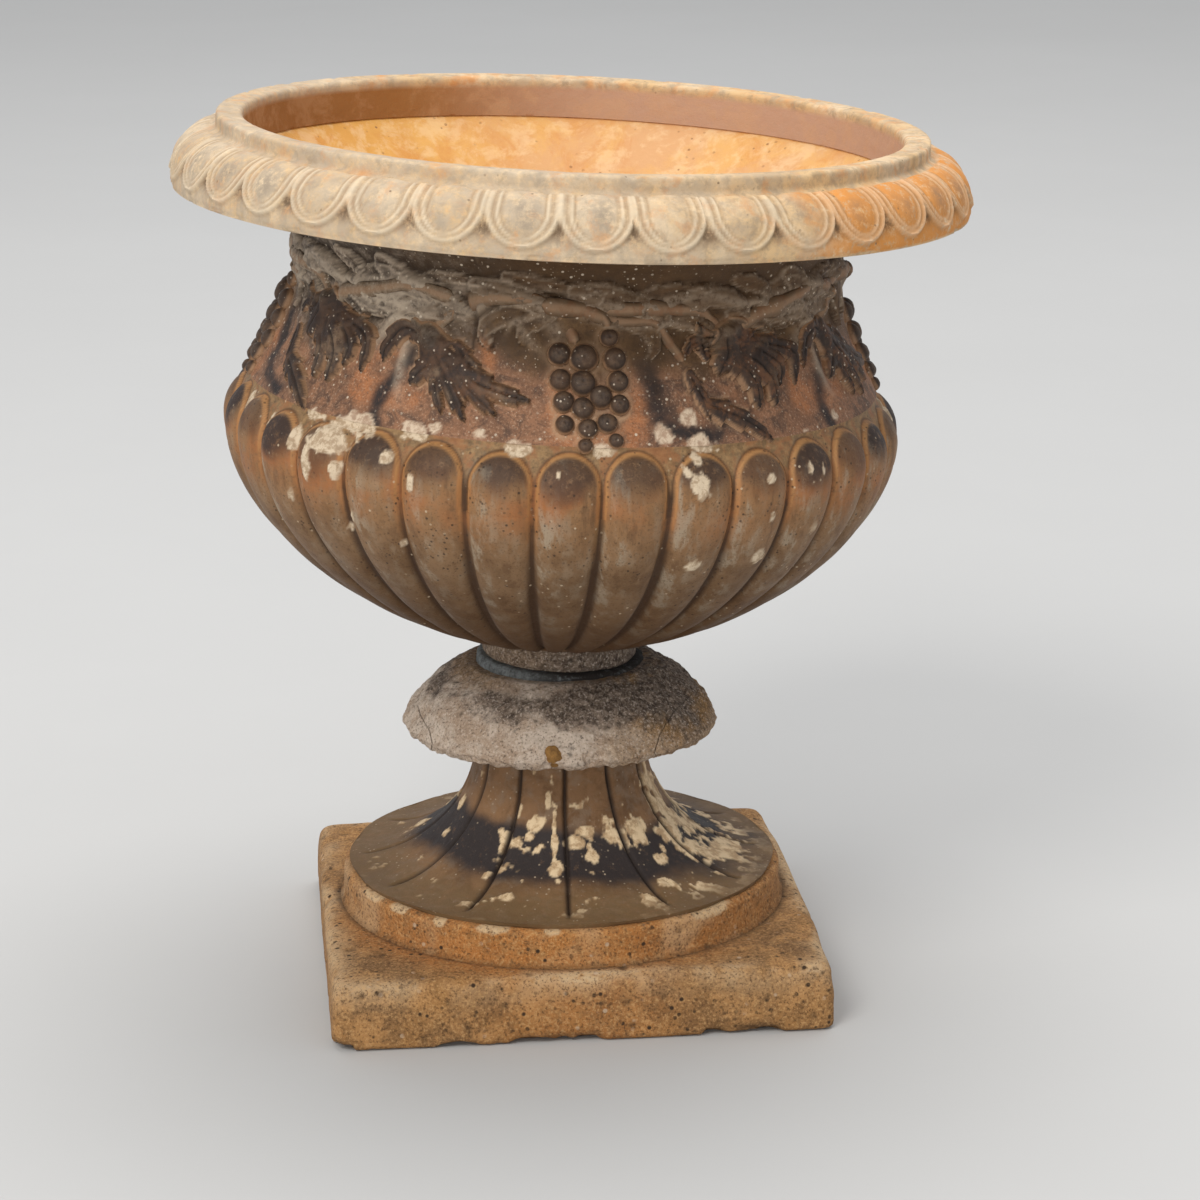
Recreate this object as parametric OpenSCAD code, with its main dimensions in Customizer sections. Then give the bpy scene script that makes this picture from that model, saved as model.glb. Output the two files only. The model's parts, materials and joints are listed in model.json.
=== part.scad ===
// Antique terracotta garden urn: square plinth, fluted socle, domed collar and a wide
// gadrooned bowl with a vine frieze and an egg-moulded rim. The bowl leans on its bed.
// Origin: centre of the plinth's underside. The plinth's front side faces -Y.

/* [Plinth] */
// Side of the square plinth
plinth_w = 400; // [360:5:460]
// Height of the plinth
plinth_h = 56; // [48:1:70]
// Worn edge of the plinth
plinth_edge = 6; // [2:1:10]
// Radius of the drain channel through the plinth
plinth_bore_r = 34; // [25:1:40]

/* [Socle] */
// Radius of the round moulding on the plinth
ring_r = 184; // [170:1:190]
// Height of the round moulding
ring_h = 30; // [20:1:36]
// Height of the socle's top above the ground
socle_top_z = 190; // [180:1:200]
// Radius of the socle's neck
socle_neck_r = 70; // [62:1:76]
// Number of incised flutes round the socle
flutes = 12; // [8:1:16]
// Width of one flute
flute_w = 4; // [2:0.5:6]
// Depth of one flute
flute_depth = 3; // [1:0.5:5]

/* [Collar] */
// Largest radius of the domed collar
collar_r = 130; // [120:1:136]
// Height of the collar's widest line
collar_edge_z = 207; // [205:1:212]
// Height of the collar's flat top
collar_top_z = 256.5; // [252:0.5:257]
// Radius of the collar's flat top
collar_top_r = 77; // [74:1:84]
// Radius of the hollow through the collar
collar_bore_r = 34; // [30:1:40]

/* [Bowl] */
// Lean of the bowl towards +X, in degrees
lean = 2.88; // [0:0.02:3]
// Underside of the bowl's foot ring
foot_z = 262; // [262:0.5:264]
// Outer radius of the bowl's foot ring
foot_r = 63; // [58:1:66]
// Largest radius of the gadrooned belly
belly_r = 271.4; // [268:0.2:276]
// Height of the belly's widest line
belly_z = 456; // [454:1:458]
// Luted seam between the bowl's two pressed halves
seam_z = 440; // [430:1:446]
// Number of gadroons
gadroons = 32; // [24:1:36]
// Width of the groove between gadroons
groove_w = 6; // [4:0.5:8]
// Depth of the groove between gadroons
groove_depth = 6; // [3:0.5:8]
// Radius of the frieze at its neck
neck_r = 210; // [204:1:214]
// Thickness of the bowl's wall
bowl_wall = 24; // [20:1:26]
// Radius of the drain hole
drain_r = 16; // [10:1:20]

/* [Rim] */
// Largest radius of the egg-moulded rim
rim_r = 319; // [316:1:324]
// Outer radius of the lip
lip_r = 280.7; // [278:0.1:283]
// Inner radius of the lip
lip_in_r = 259.8; // [258.5:0.1:262]
// Height of the lip's outer edge
lip_z = 697.8; // [696:0.2:702]
// Number of eggs round the rim
eggs = 36; // [30:1:40]

/* [Vine ornament] */
// Number of repeats of the vine round the frieze
bays = 4; // [4:1:4]
// How far the leaves stand out of the frieze
leaf_proud = 9; // [5:0.5:12]
// Radius of the vine's stem
stem_r = 4.5; // [3:0.5:5]
// Radius of the largest berry
berry_r = 8.8; // [6:0.2:8.8]
// Slip under a berry, which fills the frieze's hollow curve behind its flat back
berry_slip = 0.5; // [0.4:0.1:1]

/* [Hidden] */

$fn = 96;
gap = 0.3;
ring_z = plinth_h + ring_h;
front = 270;
flute_phase = front - 3;
gadroon_phase = front - 4.4;
egg_phase = front - 2.4;

// The bowl's axis: where it stands on the collar, and the height it leans about
bowl_x = -9.5;
bowl_y = 1.2;
lean_z = collar_edge_z;
foot_shift = 6;

ring_edge = 5;
ring_skirt = 3;
socle_foot_r = ring_r - ring_skirt - ring_edge;
socle_drop = socle_top_z - ring_z - 4;
socle_wall = 24;
mortar_h = 6;
collar_base_z = socle_top_z + mortar_h;
collar_base_r = 100;
collar_bulge = 6;

foot_h = 17;
bottom_z = foot_z + foot_h;
foot_recess_r = 36;

// The belly curve would close on the axis this far below and above its widest line
lame = 1.8;
belly_drop = belly_z - bottom_z + 7;
belly_rise = 141;
gadroon_top_z = belly_z + 30;
frieze_z = gadroon_top_z + 6;
neck_z = 590;
frieze_flare = 42;
shelf_in = [neck_r - 18, neck_z + 10];
shelf_out = [lip_in_r - 1.8, lip_z - 34];
flange_r = 285;
flange_z = [641, 652];

function arc_points(centre, radius, from, to, steps) =
    [for (i = [0:steps]) let (a = from + (to - from) * i / steps)
        centre + radius * [cos(a), sin(a)]];

// Concave flare of the socle, a quarter ellipse from the foot moulding up to the neck
function socle_r(z, inset = 0) =
    let (up = min(1, max(0, (socle_top_z - z) / socle_drop)))
    socle_foot_r - (socle_foot_r - socle_neck_r) * sqrt(1 - up * up) - inset;

// The belly is a Lame curve below and above its widest line
function belly_curve(z, inset = 0) =
    let (reach = (z < belly_z ? belly_drop : belly_rise) - inset)
    (belly_r - inset) * pow(max(0, 1 - pow(abs(z - belly_z) / reach, lame)), 1 / lame);

// Ground of the frieze, narrowing from the gadroons to the neck, and its slope
function frieze_r(z) = neck_r + frieze_flare * pow(max(0, neck_z - z) / 100, 1.5);
function frieze_slope(z) = atan(-1.5 * frieze_flare / 100 * sqrt(max(0, neck_z - z) / 100));

function frieze_points(z0, z1, inset, steps) =
    [for (i = [0:steps]) let (z = z0 + (z1 - z0) * i / steps) [frieze_r(z) - inset, z]];

function belly_points(z0, z1, inset, steps) =
    [for (i = [0:steps]) let (z = z0 + (z1 - z0) * i / steps) [belly_curve(z, inset), z]];

// Puts a piece of the bowl on its leaning axis
module on_bed() {
    translate([bowl_x, bowl_y, lean_z])
        rotate([0, lean, 0])
            translate([0, 0, -lean_z])
                children();
}

// A radial cut that follows a profile, repeated round the axis
module radial_cuts(points, width, count, phase) {
    for (i = [0:count - 1])
        rotate([0, 0, phase + i * 360 / count])
            rotate([90, 0, 0])
                translate([0, 0, -width / 2])
                    linear_extrude(width) polygon(points);
}

// ---- pedestal ----

module chamfered_square(w, d, c) {
    polygon([[-w / 2 + c, 0], [w / 2 - c, 0], [w / 2, c], [w / 2, d - c],
        [w / 2 - c, d], [-w / 2 + c, d], [-w / 2, d - c], [-w / 2, c]]);
}

module plinth() {
    color("peru") difference() {
        intersection() {
            translate([0, -plinth_w / 2, 0]) linear_extrude(plinth_h)
                chamfered_square(plinth_w, plinth_w, plinth_edge);
            rotate([90, 0, 0]) translate([0, 0, -plinth_w / 2]) linear_extrude(plinth_w)
                chamfered_square(plinth_w, plinth_h, plinth_edge / 2);
            rotate([90, 0, 90]) translate([0, 0, -plinth_w / 2]) linear_extrude(plinth_w)
                chamfered_square(plinth_w, plinth_h, plinth_edge / 2);
        }
        translate([0, 0, -1]) cylinder(r = plinth_bore_r, h = plinth_h + 2);
    }
}

module foot_ring() {
    band_r = ring_r - ring_skirt;
    color("peru") rotate_extrude() polygon(concat(
        [[socle_foot_r - 60, plinth_h], [ring_r, plinth_h], [ring_r, plinth_h + 2],
            [band_r, plinth_h + 2 + 2 * ring_skirt]],
        arc_points([band_r - ring_edge, ring_z - ring_edge], ring_edge, 0, 90, 6),
        [[socle_foot_r - 60, ring_z]]));
}

module socle() {
    steps = 14;
    heights = [for (i = [0:steps]) ring_z + 4 + socle_drop * (1 - cos(90 * i / steps))];
    outer = [for (z = heights) [socle_r(z), z]];
    inner = [for (i = [steps:-1:0]) [
        min(socle_r(heights[i]) - socle_wall, socle_foot_r - 2 * socle_wall), heights[i]]];
    cut = concat([for (p = outer) p + [6, 6]],
        [for (i = [steps:-1:0]) outer[i] - flute_depth * [1, 1]]);
    color("sienna") difference() {
        rotate_extrude() polygon(concat([[socle_foot_r - 2 * socle_wall, ring_z],
            [socle_foot_r, ring_z]], outer, inner));
        radial_cuts(cut, flute_w, flutes, flute_phase);
    }
}

module stem_mortar() {
    color("rosybrown") rotate_extrude()
        translate([socle_neck_r - socle_wall, socle_top_z])
            square([socle_wall - 3, mortar_h]);
}

// The collar whole, before its edge was broken and mended
module whole_collar() {
    steps = 8;
    lower = [collar_r, collar_edge_z];
    upper = [collar_top_r, collar_top_z];
    dome = [for (i = [0:steps]) let (t = i / steps)
        lower + t * (upper - lower) + collar_bulge * 4 * t * (1 - t) * [0.7, 0.7]];
    rotate_extrude() polygon(concat(
        [[collar_bore_r, collar_base_z], [collar_base_r, collar_base_z],
            [collar_r - 4, collar_edge_z - 5]],
        dome, [[collar_bore_r, collar_top_z]]));
}

// Space outside a straight break across the collar, at a distance from its axis
module beyond_break(azimuth, distance) {
    rotate([0, 0, azimuth])
        translate([distance, -collar_r, collar_base_z - 1])
            cube([collar_r, 2 * collar_r, collar_top_z - collar_base_z + 2]);
}

chip_left = [190, 119];
chip_right = [331, 110];
patch_at = [262, 128];
patch_r = 9;

module patch_space() {
    rotate([0, 0, patch_at[0]])
        translate([patch_at[1], 0, collar_base_z - 1])
            cylinder(r = patch_r, h = collar_top_z - collar_base_z);
}

module collar() {
    color("tan") difference() {
        whole_collar();
        beyond_break(chip_left[0], chip_left[1]);
        beyond_break(chip_right[0], chip_right[1]);
        patch_space();
    }
}

module collar_chip_left() {
    color("burlywood") intersection() {
        whole_collar();
        beyond_break(chip_left[0], chip_left[1]);
    }
}

module collar_chip_right() {
    color("tan") intersection() {
        whole_collar();
        beyond_break(chip_right[0], chip_right[1]);
    }
}

module repair_patch() {
    color("darkgoldenrod") intersection() {
        whole_collar();
        patch_space();
    }
}

module bedding_wedge() {
    color("slategray") difference() {
        translate([0, 0, collar_top_z]) difference() {
            cylinder(r = foot_r + 6, h = 20);
            translate([0, 0, -1]) cylinder(r = collar_bore_r + 2, h = 22);
        }
        on_bed() translate([-belly_r, -belly_r, foot_z - gap])
            cube([2 * belly_r, 2 * belly_r, 60]);
    }
}

// ---- bowl ----

module bowl_foot() {
    color("silver") on_bed() translate([foot_shift, 0, 0]) rotate_extrude() polygon([
        [foot_recess_r, foot_z], [foot_r - 2, foot_z], [foot_r, foot_z + 3],
        [foot_r, bottom_z - 4], [foot_r - 2, bottom_z], [foot_recess_r, bottom_z]]);
}

module bowl_bottom() {
    start_z = bottom_z + 3;
    floor_z = bottom_z + bowl_wall;
    outer = belly_points(start_z, seam_z, 0, 12);
    inner = belly_points(seam_z, floor_z, bowl_wall, 10);
    cut = concat([for (p = outer) p + [4, -8]],
        [for (i = [12:-1:0]) outer[i] + groove_depth * [-1, 0.6]]);
    color("saddlebrown") on_bed() difference() {
        rotate_extrude() polygon(concat(
            [[drain_r, bottom_z], [foot_r, bottom_z]], outer, inner, [[drain_r, floor_z]]));
        radial_cuts(cut, groove_w, gadroons, gadroon_phase + 180 / gadroons);
    }
}

module bowl_belly() {
    outer = belly_points(seam_z, gadroon_top_z, 0, 6);
    inner = [for (i = [6:-1:0]) let (z = seam_z + (frieze_z - seam_z) * i / 6)
        [min(belly_curve(z, bowl_wall), frieze_r(frieze_z) - bowl_wall
            + (frieze_z - z) * 0.6), z]];
    cut = concat([for (i = [0:6]) outer[i] + [4, 0]],
        [for (i = [6:-1:0]) outer[i] - [groove_depth * (i < 6 ? 1 : 0.2), 0]]);
    color("saddlebrown") on_bed() difference() {
        rotate_extrude() polygon(concat(outer, [[frieze_r(frieze_z), frieze_z]], inner));
        radial_cuts(cut, groove_w, gadroons, gadroon_phase + 180 / gadroons);
    }
}

module frieze_wall() {
    color("sienna") on_bed() rotate_extrude() polygon(concat(
        frieze_points(frieze_z, neck_z, 0, 10),
        [[neck_r + 3, neck_z + 6], [lip_in_r, flange_z[0] - 3], [flange_r, flange_z[0]],
            [flange_r, flange_z[1]], [lip_in_r + 4, flange_z[1]],
            [lip_in_r + 4, shelf_out[1]], shelf_out, shelf_in],
        frieze_points(neck_z - 4, frieze_z, bowl_wall, 10)));
}

module rim() {
    edge_z = flange_z[0] - 2;
    swell = arc_points([lip_r + 1, edge_z + 4], 1, 0, 85, 8);
    ovolo = [for (p = swell) [lip_r + 1 + (p[0] - lip_r - 1) * (rim_r - lip_r - 1),
        edge_z + 4 + (p[1] - edge_z - 4) * (lip_z - 14 - edge_z - 4)]];
    egg_mid = [lip_r + 25, edge_z + 32];
    egg_r = 18;
    color("wheat") on_bed() {
        rotate_extrude() polygon(concat(
            [[flange_r, edge_z], [rim_r - 3, edge_z]], ovolo,
            [[lip_r, lip_z - 12], [lip_r, lip_z - 2], [lip_r - 2, lip_z],
                [lip_in_r + 3, lip_z - 1], [lip_in_r, lip_z - 4],
                shelf_out, [lip_in_r + 4, shelf_out[1]],
                [lip_in_r + 4, flange_z[1]], [flange_r, flange_z[1]]]));
        for (i = [0:eggs - 1])
            rotate([0, 0, egg_phase + i * 360 / eggs])
                translate([egg_mid[0], 0, egg_mid[1]])
                    rotate([0, 45, 0]) cylinder(r1 = egg_r, r2 = egg_r - 4, h = 5);
    }
}

// ---- vine ornament, pressed apart and luted on the frieze ----

// Clay between the frieze's ground and a raised face
module frieze_skin(proud) {
    rotate_extrude() polygon(concat(
        frieze_points(frieze_z + 4, neck_z, 0, 10),
        frieze_points(neck_z, frieze_z + 4, -proud, 10)));
}

// A flat outline, x along the frieze and y up, pressed through the skin at an azimuth
module sprig(azimuth, height, turn, proud) {
    intersection() {
        frieze_skin(proud);
        rotate([0, 0, azimuth + 90])
            translate([0, -neck_r / 2, height])
                rotate([90, 0, 0])
                    linear_extrude(neck_r) rotate(turn) children();
    }
}

// Five-lobed vine leaf, its tip down, with the stalk it hangs by
module leaf_outline(size) {
    stalk_w = 5;
    polygon([for (a = [-150:10:150])
        size * (0.76 + 0.24 * cos(6 * a)) * [sin(a), -cos(a)]]);
    translate([-stalk_w / 2, 0]) square([stalk_w, size]);
}

// Azimuth from the bunch, height, turn and size of each leaf in a bay
LEAVES = [[-25, 538, 22, 38], [29, 545, -14, 36], [20, 503, 50, 16]];

module vine_leaves(azimuth) {
    color("darkslategray") on_bed() for (leaf = LEAVES)
        sprig(azimuth + leaf[0], leaf[1], leaf[2], leaf_proud) leaf_outline(leaf[3]);
}

// The stem runs along the neck over one bay, flat where it is luted on
module vine_stem(azimuth) {
    bay = 360 / bays;
    stem_z = neck_z - 2;
    seat_r = neck_r + 1.5;
    color("dimgray") on_bed() rotate([0, 0, azimuth - bay / 2]) rotate_extrude(angle = bay)
        intersection() {
            translate([seat_r + stem_r / 4, stem_z]) circle(r = stem_r, $fn = 24);
            translate([seat_r, stem_z - stem_r]) square(2 * stem_r);
        }
}

// Rows of berries from the top of the bunch to its tip
ROWS = [2, 4, 4, 3, 1];
berry_gap = 18;

// A berry turned about the line it points along, flat where it is luted on
module berry(r) {
    rotate([0, 90, 0]) rotate_extrude($fn = 48)
        polygon(concat([[0, 0]], arc_points([0, 0.4 * r], r, -asin(0.4), 90, 8)));
}

module grape_bunch(azimuth) {
    color("black") on_bed() for (row = [0:len(ROWS) - 1])
        for (i = [0:ROWS[row] - 1])
            let (z = neck_z - 16 - row * berry_gap,
                across = (i - (ROWS[row] - 1) / 2) * berry_gap)
                rotate([0, 0, azimuth + across / frieze_r(z) * 180 / PI])
                    translate([frieze_r(z) + berry_slip, 0, z])
                        rotate([0, frieze_slope(z), 0]) berry(berry_r - row * 0.4);
}

plinth();
foot_ring();
socle();
stem_mortar();
collar();
collar_chip_left();
collar_chip_right();
repair_patch();
bedding_wedge();
bowl_foot();
bowl_bottom();
bowl_belly();
frieze_wall();
rim();
vine_stem(front);  // vine_stem_front
vine_stem(front + 90);  // vine_stem_right
vine_stem(front + 180);  // vine_stem_back
vine_stem(front + 270);  // vine_stem_left
vine_leaves(front);  // vine_leaves_front
vine_leaves(front + 90);  // vine_leaves_right
vine_leaves(front + 180);  // vine_leaves_back
vine_leaves(front + 270);  // vine_leaves_left
grape_bunch(front);  // grape_bunch_front
grape_bunch(front + 90);  // grape_bunch_right
grape_bunch(front + 180);  // grape_bunch_back
grape_bunch(front + 270);  // grape_bunch_left
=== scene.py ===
import json
import math

import bmesh
import bpy
import numpy as np
from mathutils import Matrix, Vector


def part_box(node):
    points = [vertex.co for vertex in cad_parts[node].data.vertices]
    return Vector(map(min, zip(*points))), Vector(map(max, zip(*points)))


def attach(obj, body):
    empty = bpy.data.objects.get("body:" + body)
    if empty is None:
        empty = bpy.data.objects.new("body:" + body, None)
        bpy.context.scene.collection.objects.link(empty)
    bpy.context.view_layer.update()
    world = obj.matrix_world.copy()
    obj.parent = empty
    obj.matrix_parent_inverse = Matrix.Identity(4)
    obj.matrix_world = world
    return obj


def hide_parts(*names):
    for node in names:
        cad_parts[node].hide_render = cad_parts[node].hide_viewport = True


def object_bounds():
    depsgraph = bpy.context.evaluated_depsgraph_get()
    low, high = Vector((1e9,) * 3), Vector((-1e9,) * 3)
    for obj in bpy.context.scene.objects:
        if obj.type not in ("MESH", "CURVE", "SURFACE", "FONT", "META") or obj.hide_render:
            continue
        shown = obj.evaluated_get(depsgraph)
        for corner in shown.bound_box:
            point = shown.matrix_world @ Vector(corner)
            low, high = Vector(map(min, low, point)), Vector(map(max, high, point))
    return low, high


# An antique terracotta urn: plinth, fluted socle and collar below, and a gadrooned bowl with a vine
# frieze and an egg-moulded rim that leans a little on its mortar bed.

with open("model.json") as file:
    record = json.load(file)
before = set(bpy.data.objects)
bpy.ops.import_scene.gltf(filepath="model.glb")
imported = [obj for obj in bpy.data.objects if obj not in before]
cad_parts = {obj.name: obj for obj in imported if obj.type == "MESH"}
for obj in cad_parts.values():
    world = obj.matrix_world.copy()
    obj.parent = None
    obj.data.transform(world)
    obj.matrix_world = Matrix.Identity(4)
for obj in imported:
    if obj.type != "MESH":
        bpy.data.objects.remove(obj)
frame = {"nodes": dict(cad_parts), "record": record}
cad_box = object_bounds()

# ---------------------------------------------------------------- sizes, from the frame
# Lengths are in millimetres here. make_mesh turns them into the frame's metres.

MM = 0.001


def box(node):
    """Lowest and highest corner of a CAD node."""
    return np.array(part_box(node)) / MM


def radius(node):
    """Largest radius of a round node. The bowl leans along X, so Y keeps its true width."""
    low, high = box(node)
    return (high[1] - low[1]) / 2


def mount(name):
    return next(m for m in frame["record"]["mounts"] if m["name"] == name)


def bowl_frame():
    """The bowl's own frame: Z along its leaning axis, origin at its underside."""
    drain = mount("drain_hole")
    up = Vector(drain["axis"]).normalized()
    across = Vector((0, 1, 0))
    turn = Matrix((across.cross(up), across, up)).transposed().to_4x4()
    return Matrix.Translation(drain["pos_m"]) @ turn


BOWL = bowl_frame()


def in_bowl(node):
    """A CAD node's vertices in the bowl's own frame, as (radius, height)."""
    back = BOWL.inverted()
    points = [back @ v.co / MM for v in frame["nodes"][node].data.vertices]
    return [(math.hypot(p.x, p.y), p.z) for p in points]


def span(node):
    """Lowest and highest station of a bowl node along the bowl's axis."""
    heights = [z for _, z in in_bowl(node)]
    return min(heights), max(heights)


def radius_at(node, height):
    """Largest radius of a bowl node at one station of its axis."""
    return max(r for r, z in in_bowl(node) if abs(z - height) < 0.5)


PLINTH_HALF = box("plinth")[1][0]
PLINTH_H = box("plinth")[1][2]
CHANNEL_R = mount("plinth_channel")["dims"]["r_mm"]
DRAIN_R = mount("drain_hole")["dims"]["r_mm"]
RING_R = radius("foot_ring")
RING_TOP = box("foot_ring")[1][2]
SOCLE_TOP = box("socle")[1][2]
SOCLE_FOOT_R = radius("socle")
NECK_R = radius("stem_mortar") + 3
COLLAR_R = radius("collar")
COLLAR_LOW, COLLAR_HIGH = box("collar")[0][2], box("collar")[1][2]
WALL = 24

BOWL_FOOT_R = radius("bowl_foot")
FOOT_LOW = span("bowl_foot")[0]
SEAM = span("bowl_bottom")[1]
FRIEZE = span("bowl_belly")[1]
BELLY_R = radius("bowl_belly")
BELLY = SEAM + 16
CROWN = FRIEZE - 6
RIM_LOW, LIP = span("rim")
NECK = RIM_LOW - 49
FRIEZE_R = radius_at("frieze_wall", NECK)
LIP_R = radius_at("rim", LIP - 2)
LIP_IN_R = LIP_R - 20.9
RIM_R = LIP_R + 38.3

FRONT = math.radians(270)
GADROONS = 32
EGGS = 36
FLUTES = 12
BAYS = 4
GADROON_PHASE = FRONT - math.radians(4.4)
EGG_PHASE = FRONT - math.radians(2.4)
FLUTE_PHASE = FRONT - math.radians(3)

# ---------------------------------------------------------------- noise


def lattice(i, j, k, seed):
    """A fixed random number from 0 to 1 for every whole point of space."""
    h = (i * 374761393 + j * 668265263 + k * 1442695041 + seed * 1274126177) & 0xFFFFFFFF
    h = ((h ^ (h >> 13)) * 1274126177) & 0xFFFFFFFF
    h = ((h ^ (h >> 15)) * 668265263) & 0xFFFFFFFF
    return ((h ^ (h >> 16)) & 0xFFFF) / 65535.0


def noise(p, size, seed):
    """Smooth noise from -1 to 1 whose features measure about size."""
    q = p / size
    cell = np.floor(q).astype(np.int64)
    f = q - cell
    f = f * f * (3 - 2 * f)
    total = 0.0
    for corner in range(8):
        step = (corner & 1, corner >> 1 & 1, corner >> 2 & 1)
        weight = 1.0
        for k in range(3):
            weight = weight * (f[..., k] if step[k] else 1 - f[..., k])
        total = total + weight * lattice(*(cell[..., k] + step[k] for k in range(3)), seed)
    return 2 * total - 1


def fbm(p, size, octaves, seed):
    """Noise summed over octaves, each half the size and strength of the last."""
    total, weight, reach = 0.0, 1.0, 0.0
    for k in range(octaves):
        total = total + weight * noise(p, size / 2**k, seed + k)
        reach += weight
        weight *= 0.5
    return total / reach


def ridges(p, size, octaves, seed):
    """Noise with sharp crests, from 0 in the valleys to 1 on the crests."""
    total, weight, reach = 0.0, 1.0, 0.0
    for k in range(octaves):
        total = total + weight * (1 - np.abs(noise(p, size / 2**k, seed + k)))
        reach += weight
        weight *= 0.5
    return total / reach


def pits(p, size, share, seed):
    """1 in the middle of scattered pits, 0 between them. share is how many cells hold one."""
    q = p / size
    base = np.floor(q).astype(np.int64)
    best = np.zeros(p.shape[:-1])
    for n in range(27):
        near = base + np.array((n % 3 - 1, n // 3 % 3 - 1, n // 9 - 1))
        ids = [near[..., k] for k in range(3)]
        at = np.stack([ids[k] + lattice(*ids, seed + 1 + k) for k in range(3)], -1)
        wide = 0.15 + 0.45 * lattice(*ids, seed + 5)
        away = np.sqrt(((q - at) ** 2).sum(-1)) / wide
        hit = np.clip(1 - away, 0, 1) * (lattice(*ids, seed + 9) < share)
        best = np.maximum(best, hit)
    return best


def step(low, high, value):
    """Smooth step: 0 below low, 1 above high."""
    t = np.clip((value - low) / (high - low), 0, 1)
    return t * t * (3 - 2 * t)


def bump(value, width):
    """1 where value is 0, fading over a width."""
    return np.exp(-((value / width) ** 2))


def raise_to(mask, where, value):
    """Raises a mask, where it is lower, to the values given for the chosen points."""
    mask[where] = np.maximum(mask[where], value)


def turned_from(angle, centre):
    """Signed angle from a centre, from -pi to pi."""
    return (angle - centre + math.pi) % (2 * math.pi) - math.pi


def facing(angle, azimuth):
    """1 on the side that faces an azimuth in degrees, -1 on the far side."""
    return np.cos(angle - math.radians(azimuth))


# ---------------------------------------------------------------- meshes


def make_mesh(name, points, faces, masks=None):
    """A mesh from points in the world, in millimetres, kept inside the CAD model's box."""
    mesh = bpy.data.meshes.new(name)
    points = np.clip(np.asarray(points, float).reshape(-1, 3) * MM, *np.array(cad_box))
    faces = np.asarray(faces, np.int32)
    mesh.vertices.add(len(points))
    mesh.vertices.foreach_set("co", points.astype(np.float32).ravel())
    mesh.loops.add(faces.size)
    mesh.loops.foreach_set("vertex_index", faces.ravel())
    mesh.polygons.add(len(faces))
    mesh.polygons.foreach_set("loop_start", np.arange(0, faces.size, faces.shape[1], dtype=np.int32))
    mesh.update(calc_edges=True)
    for mask, values in (masks or {}).items():
        layer = mesh.attributes.new(mask, "FLOAT", "POINT")
        layer.data.foreach_set("value", np.clip(values, 0, 1).astype(np.float32).ravel())
    mesh.shade_smooth()
    mesh.set_sharp_from_angle(angle=math.radians(65))
    return mesh


def leaned(points):
    """Points of the bowl's own frame, put where the bowl stands."""
    turn = np.array(BOWL.to_3x3())
    return points @ turn.T + np.array(BOWL.translation) / MM


def ring_faces(rows, cols, closed=False):
    """Quads of a grid closed round its columns, and round its rows if closed."""
    a = np.arange(rows * cols).reshape(rows, cols)
    if closed:
        a = np.concatenate([a, a[:1]])
    b = np.roll(a, -1, axis=1)
    return np.stack([a[:-1], b[:-1], b[1:], a[1:]], -1).reshape(-1, 4)


def show(node, mesh, shade, body, suffix="_clay"):
    """A mesh that is seen in place of one CAD node, on its body and under its name."""
    mesh.materials.append(shade.material)
    for mask in sorted(shade.masks - set(mesh.attributes.keys())):
        mesh.attributes.new(mask, "FLOAT", "POINT")
    piece = bpy.data.objects.new(node + suffix, mesh)
    bpy.context.collection.objects.link(piece)
    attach(piece, body)
    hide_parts(node)


def on_pedestal(node, shade, points, faces, masks=None, suffix="_clay"):
    show(node, make_mesh(node, points, faces, masks), shade, "pedestal", suffix)


def on_bowl(node, shade, points, faces, masks):
    """A node of the bowl, from points in the bowl's own frame."""
    show(node, make_mesh(node, leaned(points), faces, masks), shade, "bowl")


def resample(points, spacing):
    """Points at an even spacing along an outline."""
    points = np.array(points, float)
    along = np.r_[0, np.cumsum(np.hypot(*np.diff(points, axis=0).T))]
    count = max(2, int(round(along[-1] / spacing)) + 1)
    t = np.linspace(0, along[-1], count)
    return np.stack([np.interp(t, along, points[:, k]) for k in (0, 1)], 1)


def arc(centre, size, start, end, count):
    """Points of an elliptic arc, angles in degrees, as (radius, height)."""
    a = np.radians(np.linspace(start, end, count))
    return [(centre[0] + size[0] * math.cos(t), centre[1] + size[1] * math.sin(t)) for t in a]


def normals_of(profile):
    """Normals of an outline, to the right of the way it runs."""
    tangent = np.gradient(profile, axis=0)
    tangent /= np.maximum(np.hypot(tangent[:, 0], tangent[:, 1]), 1e-9)[:, None]
    return np.stack([tangent[:, 1], -tangent[:, 0]], 1)


def turned(outer, inner, spacing, coarse, columns, shape, radial=False):
    """A closed ring of clay: an outer face finely spaced, an inner one coarsely.

    shape(angle, radius, height, face) gives how far each point moves along its normal, and
    the masks. face is 0 to 1 along the outer face and -1 on the inner one."""
    fine = resample(outer, spacing)
    back = resample(inner, coarse)
    profile = np.concatenate([fine, back[1:-1]])
    normal = np.concatenate([normals_of(fine), normals_of(back)[1:-1]])
    if radial:
        normal[:len(fine)] = (1, 0)
    face = np.r_[np.linspace(0, 1, len(fine)), -np.ones(len(back) - 2)]
    angle = np.linspace(0, 2 * math.pi, columns, endpoint=False)
    a, r = np.meshgrid(angle, profile[:, 0])
    z = np.repeat(profile[:, 1:2], columns, axis=1)
    f = np.repeat(face[:, None], columns, axis=1)
    moved, masks = shape(a, r, z, f)
    r = r + moved * normal[:, 0:1]
    z = z + moved * normal[:, 1:2]
    return place(a, r, z), ring_faces(len(profile), columns, True), masks


def place(a, r, z):
    """Points in space of angle, radius and height."""
    return np.stack([r * np.cos(a), r * np.sin(a), z + 0 * a], -1)


def warped(p, size, strength, seed):
    """Points shifted by noise, so that what is drawn on them gets ragged edges."""
    return p + strength * np.stack([fbm(p, size, 3, seed + 7 * k) for k in range(3)], -1)


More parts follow.
